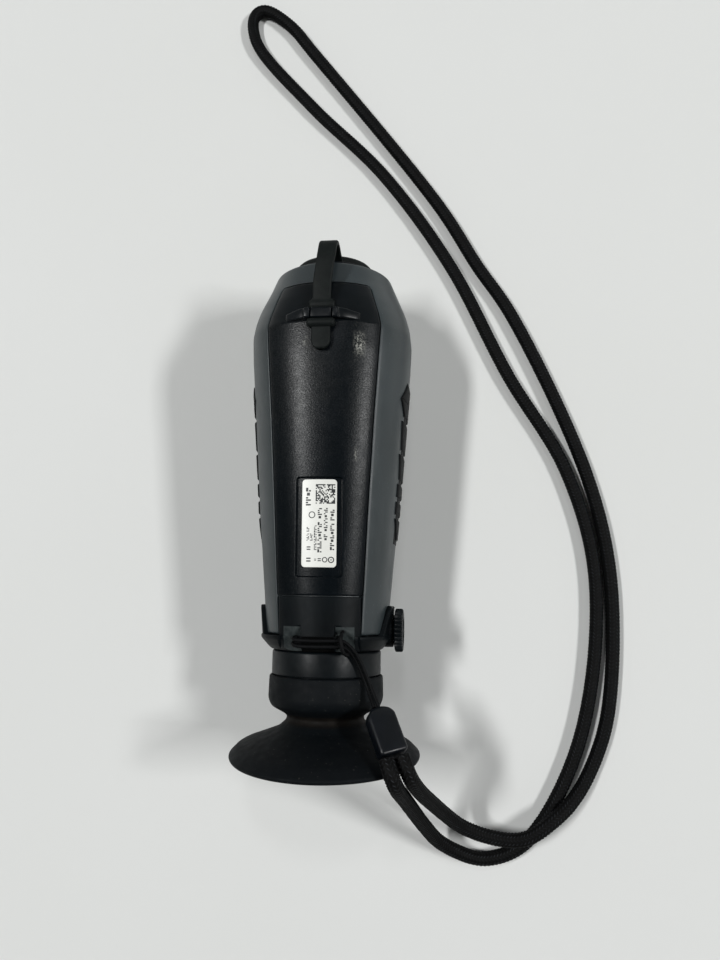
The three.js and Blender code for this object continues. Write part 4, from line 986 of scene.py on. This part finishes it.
def route_length(path):
    return float(np.linalg.norm(np.diff(path, axis=0), axis=1).sum())


def tube(shape, path, radii):
    """A closed tube along the path; radii holds a radius for each point and each place round it."""
    _, side, up = carried_frames(path)
    angle = np.linspace(0, 2 * math.pi, radii.shape[1], endpoint=False)
    out = side[:, None] * np.cos(angle)[:, None] + up[:, None] * np.sin(angle)[:, None]
    shape.grid(path[:, None] + out * radii[..., None], wrap_cols=True, caps=True)


def declare_cord(path, diameter):
    places = [in_frame(*point) for point in (*path[::4], path[-1])]
    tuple(places[0])


def add_lanyard():
    """A round braid: lanes of slanting strands that lean to the left and to the right in turn."""
    route = over_axis(LANYARD_ROUTE)
    length = route_length(spline(route, 400))
    path = eased(spline(route, int(length / BRAID["step"])), BRAID["ease"])
    run = np.linspace(0, length, len(path))[:, None]
    angle = np.linspace(0, 1, BRAID["around"], endpoint=False)[None, :]
    lane = np.floor(angle * BRAID["lanes"])
    across = angle * BRAID["lanes"] - lane - 0.5
    lean = np.where(lane % 2 == 0, 1, -1) * BRAID["slant"] * across * 2
    strand = 0.5 + 0.5 * np.cos(2 * math.pi * (run / BRAID["pitch"] + lean + 0.5 * (lane % 4 > 1)))
    strand = strand**1.4 * (1 - 0.8 * (2 * np.abs(across)) ** 4)
    shape = Shape()
    tube(shape, path, LANYARD_DIAMETER / 2 - BRAID["relief"] * (1 - strand))
    # The strand mask also sets the braid's painted shade between the strands and its painted highlights on
    # their tops.
    masks = {"strand": strand.ravel()}
    cord = build("lanyard_braid", shape, braid_finish, "lanyard_cord", sharp=80, masks=masks)
    declare_cord(path, LANYARD_DIAMETER)


def add_tether():
    """A thin cord with the faint spiral of its three strands."""
    path = spline(over_axis(TETHER_ROUTE), TWIST["points"])
    run = np.linspace(0, route_length(path), len(path))[:, None]
    wave = 0.5 + 0.5 * np.cos(TWIST["strands"] * circle(TWIST["around"]) + run * TWIST["pitch"])
    shape = Shape()
    tube(shape, path, TETHER_DIAMETER / 2 - TWIST["relief"] * wave)
    cord = build("tether_strand", shape, tether_finish, "tether_cord", sharp=80)
    declare_cord(path, TETHER_DIAMETER)


CLIP_TOP, CLIP_FOOT = (19.6, -35.2, 51.4), (25.6, -48.6, 57.6)
CLIP = {"width": 9.4, "length": 15.6, "thickness": 5.6, "roll": 0.52, "edge": 0.95, "taper": 1.4}


def clip_section(place):
    """Offsets across and through the clip round one section of it; its top end is rounded."""
    half, length, edge = CLIP["width"] / 2, CLIP["length"], CLIP["edge"]
    round_length = half * 0.8
    over = max(place - (length - round_length), 0) / round_length
    shrink = math.sqrt(1 - over**2)
    wide = half * shrink - edge_drop(place, edge)
    thick = CLIP["thickness"] / 2 - edge_drop(place, edge) - CLIP["taper"] * (1 - shrink)
    radius = min(edge, wide * 0.9, thick * 0.9)
    for sign_x, sign_z, start in ((1, 1, 0), (-1, 1, 90), (-1, -1, 180), (1, -1, 270)):
        for turn in np.radians(np.linspace(start, start + 90, 5)):
            across = sign_x * (wide - radius) + radius * math.cos(turn)
            yield across, sign_z * (thick - radius) + radius * math.sin(turn)


def add_cord_clip():
    """The moulded clip that joins the tether and both ends of the lanyard."""
    top, foot = over_axis([CLIP_TOP, CLIP_FOOT])
    along = (top - foot) / np.linalg.norm(top - foot)
    level = np.cross(along, [0, 0, 1])
    level /= np.linalg.norm(level)
    across = level * math.cos(CLIP["roll"]) + np.cross(along, level) * math.sin(CLIP["roll"])
    face = np.cross(across, along)
    length, edge = CLIP["length"], CLIP["edge"]
    round_length = CLIP["width"] / 2 * 0.8
    rounding = length - round_length * (1 - np.sin(np.linspace(0, math.pi / 2, 14)))
    straight = np.linspace(edge, length - round_length, 9)
    places = np.unique(np.concatenate([EDGE_STEPS * edge, straight, rounding]))
    rings = []
    for place in places[:-1]:
        middle = (top + foot) / 2 + along * (place - length / 2)
        rings.append([middle + across * u + face * v for u, v in clip_section(place)])
    shape = Shape()
    shape.grid(rings, wrap_cols=True, caps=True)
    return build("cord_clip_body", shape, clip_finish, "cord_clip", sharp=50)


# ---- finishes

def linear(hexadecimal):
    """A colour written as six hexadecimal digits, as linear red, green, blue and alpha."""
    parts = [int(hexadecimal[i : i + 2], 16) / 255 for i in (0, 2, 4)]
    return [p / 12.92 if p <= 0.04045 else ((p + 0.055) / 1.055) ** 2.4 for p in parts] + [1]


class Finish:
    """A procedural material under way."""

    def __init__(self, name, roughness, specular=0.5, metallic=0.0):
        self.material = bpy.data.materials.new(name)
        self.material.use_nodes = True
        self.tree = self.material.node_tree
        self.shader = self.tree.nodes["Principled BSDF"]
        self.shader.inputs["Roughness"].default_value = roughness
        self.shader.inputs["Metallic"].default_value = metallic
        self.shader.inputs["Specular IOR Level"].default_value = specular
        self.place = self.node("ShaderNodeTexCoord").outputs["Object"]
        self.height = None

    def node(self, kind, **settings):
        node = self.tree.nodes.new(kind)
        for key, value in settings.items():
            setattr(node, key, value)
        return node

    def link(self, source, target):
        """Joins two sockets; a target given by name is one of the shader's."""
        self.tree.links.new(source, self.shader.inputs[target] if isinstance(target, str) else target)

    def noise(self, per_mm, detail=2.0, rough=0.5):
        node = self.node("ShaderNodeTexNoise")
        for key, number in (("Scale", per_mm / MM), ("Detail", detail), ("Roughness", rough)):
            node.inputs[key].default_value = number
        self.link(self.place, node.inputs["Vector"])
        return node.outputs["Fac"]

    def ramp(self, value, stops):
        """Colours, or shares from 0 to 1, spread over a value."""
        node = self.node("ShaderNodeValToRGB")
        elements = node.color_ramp.elements
        while len(elements) < len(stops):
            elements.new(0.5)
        for element, (position, colour) in zip(elements, stops):
            element.position = position
            element.color = linear(colour) if isinstance(colour, str) else [colour] * 3 + [1]
        self.link(value, node.inputs["Fac"])
        return node.outputs["Color"]

    def shades(self, value, dark, light):
        """Two colours spread over the middle of a noise."""
        return self.ramp(value, [(0.3, dark), (0.7, light)])

    def mix(self, factor, first, second):
        node = self.node("ShaderNodeMix", data_type="RGBA")
        for key, source in (("Factor", factor), ("A", first), ("B", second)):
            self.link(source, node.inputs[key])
        return node.outputs["Result"]

    def math(self, kind, first, second=None):
        node = self.node("ShaderNodeMath", operation=kind)
        for socket, value in zip(node.inputs, (first, second)):
            if isinstance(value, (int, float)):
                socket.default_value = value
            elif value is not None:
                self.link(value, socket)
        return node.outputs["Value"]

    def product(self, first, *others):
        for other in others:
            first = self.math("MULTIPLY", first, other)
        return first

    def spread(self, value, low, high, out_low, out_high):
        node = self.node("ShaderNodeMapRange")
        for key, number in (("From Min", low), ("From Max", high), ("To Min", out_low), ("To Max", out_high)):
            node.inputs[key].default_value = number
        self.link(value, node.inputs["Value"])
        return node.outputs["Result"]

    def band(self, value, middle_mm, inner_mm, outer_mm, most):
        """The most within the inner distance of the middle, falling to nothing at the outer."""
        away = self.math("ABSOLUTE", self.math("SUBTRACT", value, middle_mm * MM))
        return self.spread(away, inner_mm * MM, outer_mm * MM, most, 0.0)

    def roughness(self, value, low, high):
        self.link(self.spread(value, 0.3, 0.7, low, high), "Roughness")

    def bump(self, value, depth_mm):
        node = self.node("ShaderNodeBump")
        node.inputs["Strength"].default_value = 1.0
        node.inputs["Distance"].default_value = depth_mm * MM
        self.link(value, node.inputs["Height"])
        if self.height:
            self.link(self.height, node.inputs["Normal"])
        self.height = node.outputs["Normal"]
        self.link(self.height, "Normal")

    def axis(self, name):
        node = self.node("ShaderNodeSeparateXYZ")
        self.link(self.place, node.inputs["Vector"])
        return node.outputs[name]

    def mask(self, name):
        return self.node("ShaderNodeAttribute", attribute_name=name).outputs["Fac"]


def made_once(make):
    """Each finish is one material, whichever pieces wear it."""
    made = []

    def finish():
        if not made:
            made.append(make())
        return made[0]

    return finish


def shaded(name, roughness, cloud, shades, bumps=(), specular=0.5, metallic=0.0, shine=None):
    """A finish of two cloudy shades; cloud is a noise, bumps are (noise, mm), shine is (noise, low, high)."""

    @made_once
    def finish():
        f = Finish(name, roughness, specular, metallic)
        f.link(f.shades(f.noise(*cloud), *shades), "Base Color")
        for noise, depth in bumps:
            f.bump(f.noise(*noise), depth)
        if shine:
            noise, low, high = shine
            f.roughness(f.noise(*noise), low, high)
        return f.material

    return finish


satin_finish = shaded("satin_black_coat", 0.4, (0.08, 3), ("070a0c", "0c1114"), [((2.4, 3), 0.012)], 0.15,
                      shine=((0.4, 3), 0.34, 0.46))
grip_finish = shaded("grip_black_rubber", 0.62, (0.2, 3), ("050708", "0a0d0f"), [((2.6, 3), 0.03)], 0.15)
strap_finish = shaded("strap_soft_rubber", 0.58, (0.35, 4, 0.65), ("070b0b", "0f1413"),
                      [((1.6, 3), 0.03), ((6, 2), 0.008)], 0.15)
key_finish = shaded("key_soft_rubber", 0.55, (0.3, 3), ("101315", "181c1e"), [((3, 2), 0.01)])
label_finish = shaded("label_white_film", 0.38, (0.08, 3), ("d6d6d1", "dedfda"), [((0.6, 3), 0.01)])
ink_finish = shaded("label_ink", 0.5, (0.8, 2), ("15181a", "24282a"))
clip_finish = shaded("clip_gloss_black", 0.3, (0.2, 3), ("04070b", "080c12"), [((1.2, 2), 0.008)], 0.3,
                     shine=((0.5, 3), 0.3, 0.42))
tether_finish = shaded("tether_black_cord", 0.6, (1.5, 2), ("040506", "0a0b0d"), [((4, 2), 0.02)], 0.1)
lens_finish = shaded("coated_lens", 0.06, (0.05, 2), ("0c1420", "141c2c"), specular=0.8,
                     shine=((0.5, 2), 0.04, 0.08))


@made_once
def slate_finish():
    f = Finish("slate_coat", 0.42)
    cloud = f.noise(0.03, 3)
    specks = f.ramp(f.noise(1.6, 2, 0.6), [(0.71, 0.0), (0.78, 1.0)])
    pale = f.ramp(cloud, [(0, "5f6a6c"), (1, "6b7678")])
    f.link(f.mix(specks, f.shades(cloud, "262d2f", "2e3538"), pale), "Base Color")
    f.roughness(f.noise(0.12, 3), 0.36, 0.46)
    f.bump(f.noise(1.4, 3), 0.012)
    f.bump(f.noise(7, 2), 0.006)
    return f.material


# The black panel's two painted highlight bands, where the lights would shine on it: place across, half width in
# millimetres, and strength.
PANEL_HIGHLIGHT_BANDS = ((-7.5, 4.5, 0.12), (12.6, 3.5, 0.1))
# Its pale patches, the first a painted glint of the right light on its band and the other two real scuffs:
# place across and along, half width, half length in millimetres, and strength.
PANEL_GLINT_AND_SCUFFS = ((13.0, 52.0, 2.4, 5.0, 1.0), (-5.6, 53.0, 1.3, 2.2, 0.5), (12.0, 14.0, 0.8, 3.2, 0.5))


@made_once
def panel_finish():
    """Grained behind the crease and smooth in front of it, shinier to the front, with two painted highlight
    bands that fade to the rear, a painted glint and two real scuffs.
    """
    f = Finish("grained_black", 0.34)
    x, y = f.axis("X"), f.axis("Y")
    crease = CREASE_S - MIDDLE_S
    ahead = f.spread(y, (crease - 0.3) * MM, (crease + 0.3) * MM, 1.0, 0.0)
    front = f.spread(y, -5 * MM, 45 * MM, 0.35, 1.0)
    grain = f.product(f.math("SUBTRACT", f.noise(2.2, 2, 0.7), 0.5), ahead)
    f.link(f.product(front, f.spread(grain, -0.15, 0.15, 0.13, 0.31)), "Specular IOR Level")
    # Painted highlights: two lengthwise bands where the lights would shine, broken into sparkle and fading to
    # the rear.
    highlight_bands = [f.band(x, across, 0.5, half_width, strength) for across, half_width, strength in PANEL_HIGHLIGHT_BANDS]
    highlight_sparkle = f.ramp(f.noise(1.5, 3, 0.75), [(0.56, 0.0), (0.68, 1.0)])
    lightened = f.product(f.math("MAXIMUM", *highlight_bands), front, ahead, highlight_sparkle)
    # Pale patches: a painted glint of the right light on its band, and two real scuffs.
    glint_and_scuff_spots = f.ramp(f.noise(1.2, 3, 0.75), [(0.46, 0.0), (0.6, 1.0)])
    for across, along, half_width, half_length, strength in PANEL_GLINT_AND_SCUFFS:
        beside, ahead_of = f.band(x, across, 0.2, half_width, strength), f.band(y, along, 0.3, half_length, 1.0)
        lightened = f.math("MAXIMUM", lightened, f.product(beside, ahead_of, glint_and_scuff_spots))
    base = f.shades(f.noise(0.06, 3), "05090c", "090e12")
    # The pale colour of the painted highlights, the painted glint and the real scuffs.
    pale = f.ramp(f.noise(0.4), [(0.2, "8a8a83"), (0.8, "b9b9b2")])
    f.link(f.mix(lightened, base, pale), "Base Color")
    f.bump(f.product(f.noise(1.9, 2, 0.6), ahead), 0.05)
    f.bump(f.noise(9, 1), 0.004)
    f.roughness(f.noise(0.35, 3), 0.3, 0.36)
    return f.material


@made_once
def collar_finish():
    """Black, with painted light on the sloping pocket floors, which are coloured paler, and a painted shadow,
    near-black and dull, in the gap under the tongue.
    """
    f = Finish("satin_black_collar", 0.46, 0.08)
    under = f.mask("gap")
    base = f.shades(f.noise(0.08, 3), "070a0c", "0c1114")
    # Painted light: the sloping pocket floors are coloured paler.
    lightened = f.shades(f.noise(0.5, 4, 0.65), "24292a", "3a3f3f")
    # Painted shadow: near-black on the step under the tongue, made dull by the roughness below.
    gap = f.ramp(f.noise(0.5), [(0, "010101"), (1, "030404")])
    f.link(f.mix(under, f.mix(f.mask("lightened"), base, lightened), gap), "Base Color")
    f.bump(f.noise(2.4, 3), 0.012)
    f.link(f.math("MAXIMUM", f.spread(f.noise(0.4, 3), 0.3, 0.7, 0.42, 0.5), under), "Roughness")
    return f.material


@made_once
def cup_finish():
    """Dusty black rubber with a brownish neck."""
    f = Finish("soft_cup_rubber", 0.6, 0.1)
    y = f.axis("Y")
    rear, front = (-43.4 - MIDDLE_S) * MM, (-39.2 - MIDDLE_S) * MM
    begins = f.spread(y, rear, rear + 1.2 * MM, 0.0, 1.0)
    neck = f.product(begins, f.spread(y, front - 0.8 * MM, front, 1.0, 0.0))
    base = f.shades(f.noise(0.05, 3), "04070a", "090d10")
    dust = f.ramp(f.noise(0.9, 3, 0.7), [(0.66, 0.0), (0.74, 0.55)])
    pale = f.ramp(f.noise(0.3), [(0, "4a4a46"), (1, "5a5852")])
    brown = f.shades(f.noise(0.25, 3), "0c0a09", "15120f")
    f.link(f.mix(neck, f.mix(dust, base, pale), brown), "Base Color")
    f.bump(f.noise(1.8, 3), 0.02)
    f.roughness(f.noise(0.3, 3), 0.55, 0.7)
    return f.material


@made_once
def braid_finish():
    """Painted shade darkens the cord between the strands, and painted highlights make it paler on top of them.
    """
    f = Finish("braided_black_cord", 0.65, 0.12)
    # From painted shade in the grooves between the strands to painted highlights on their tops.
    stops = [(0.0, "010101"), (0.5, "020202"), (0.8, "141618"), (1.0, "464a4f")]
    f.link(f.ramp(f.mask("strand"), stops), "Base Color")
    f.bump(f.noise(5, 2), 0.03)
    return f.material


def inner(name, dark, light, roughness, metallic=0.0, scale=0.4, relief=0.01):
    """The finish of a part inside the body."""
    bumps = [((scale * 6, 2), relief)]
    return shaded(name, roughness, (scale, 3), (dark, light), bumps, metallic=metallic)


SLOT_FINISHES = {
    # The button-side panel wears the same finish, so it gets the painted highlight bands and the painted glint
    # too.
    "grained_panel": panel_finish,
    "key_rubber": key_finish,
    "seal_rubber": key_finish,
    "germanium": lens_finish,
    "optical_glass": lens_finish,
    "black_metal": inner("blackened_metal", "101214", "1a1c1f", 0.45, 0.4),
    "cast_alloy": inner("cast_alloy_grey", "7d8083", "8f9295", 0.5, 0.9, 0.8, 0.02),
    "steel": inner("turned_steel", "8b8d8f", "a3a5a7", 0.3, 1.0),
    "brass": inner("turned_brass", "8f7437", "a58744", 0.32, 1.0),
    "flex_ribbon": inner("amber_ribbon", "7a4a18", "8c5a22", 0.4),
    "circuit_board": inner("green_board", "12402a", "1c5236", 0.45, 0.0, 0.9, 0.02),
    "cell_wrap": inner("cell_blue_wrap", "1f3f66", "28507c", 0.4),
    "inner_plastic": inner("inner_grey_plastic", "2c2f31", "383b3d", 0.55),
    "display_glass": inner("display_dark_glass", "0b0d12", "12151c", 0.12),
}


def finish_cad_nodes():
    """CAD parts that stay visible get the finish of their material slot."""
    for part in frame["record"]["subparts"]:
        make = SLOT_FINISHES.get(part["material_slot"])
        if make:
            node = frame["nodes"][part["node"]]
            node.data.materials.clear()
            node.data.materials.append(make())


# ---- studio

FLOOR = {"flat": 2.2, "bend": 0.8, "wall": 2.4, "turns": 72}  # metres, and how many sides


def add_floor():
    """A round paper floor whose edge bends up into a low wall behind the lights."""
    flat, bend, turns = FLOOR["flat"], FLOOR["bend"], FLOOR["turns"]
    profile = [(0.5, 0.0)]
    for turn in np.linspace(0, math.pi / 2, 9):
        profile.append((flat + bend * math.sin(turn), bend * (1 - math.cos(turn))))
    profile.append((flat + bend, FLOOR["wall"]))
    points = [(0.0, 0.0, 0.0)]
    for reach, height in profile:
        points += [(reach * math.cos(turn), reach * math.sin(turn), height) for turn in circle(turns)]
    faces = [(0, 1 + i, 1 + (i + 1) % turns) for i in range(turns)]
    rings = quads(len(profile), turns, wrap_cols=True)
    faces += [[1 + corner for corner in reversed(face)] for face in rings]  # so that they face up too
    mesh = bpy.data.meshes.new("studio_floor")
    mesh.from_pydata(points, [], faces)
    mesh.shade_smooth()
    f = Finish("studio_floor_paper", 0.85, 0.2)
    f.link(f.ramp(f.noise(0.004, 2), [(0.2, "d2d3d1"), (0.8, "d6d7d6")]), "Base Color")
    mesh.materials.append(f.material)
    placed("studio_floor", mesh)


AIM = Vector((0.01, 0.02, 0.03))
WHITE, COOL_WHITE = (0.985, 0.99, 0.985), (0.97, 0.985, 1.0)
# Seen from the aim, degrees to the right and to the front; then distance and size in metres, watts, tint.
LIGHTS = {
    "left_strip": (-29, 5, 2.2, (0.176, 0.66), 30.5, WHITE),
    "right_strip": (46.5, 0, 2.42, (0.22, 0.55), 35, WHITE),
    "front_panel": (4, 30, 2.42, (0.264, 0.264), 4.2, COOL_WHITE),
}


def add_lights():
    for name, (right, front, distance, size, watts, tint) in LIGHTS.items():
        data = bpy.data.lights.new(name, "AREA")
        data.shape = "RECTANGLE"
        data.size, data.size_y = size
        data.energy = watts
        data.color = tint
        way = Vector((math.tan(math.radians(right)), math.tan(math.radians(front)), 1)).normalized()
        across = Vector((1, 0, 0)) - way * way.x
        across.normalize()
        turn = Matrix((across, way.cross(across), way)).transposed()
        placed(name, data).matrix_world = Matrix.Translation(AIM + way * distance) @ turn.to_4x4()
    world = bpy.data.worlds.new("studio")
    world.use_nodes = True
    sky = world.node_tree.nodes["Background"].inputs
    sky["Color"].default_value = (0.93, 0.96, 1.0, 1)
    sky["Strength"].default_value = 0.02
    bpy.context.scene.world = world
    bpy.context.scene.view_settings.view_transform = "Standard"


add_camera()
add_floor()
add_lights()
finish_cad_nodes()
clip = add_cord_clip()
add_lanyard()
add_tether()
add_armour_shell()
add_bottom_panel()
add_label()
add_side_grip(1, "side_grip_right")
add_side_grip(-1, "side_grip_left")
add_rear_collar()
add_port_cover()
add_black_ring("eyepiece_barrel", BARREL, 0.35)
add_eyecup()
add_focus_knob()
add_black_ring("front_bezel", BEZEL, 0.5)
add_lens_cap()
add_cap_strap()
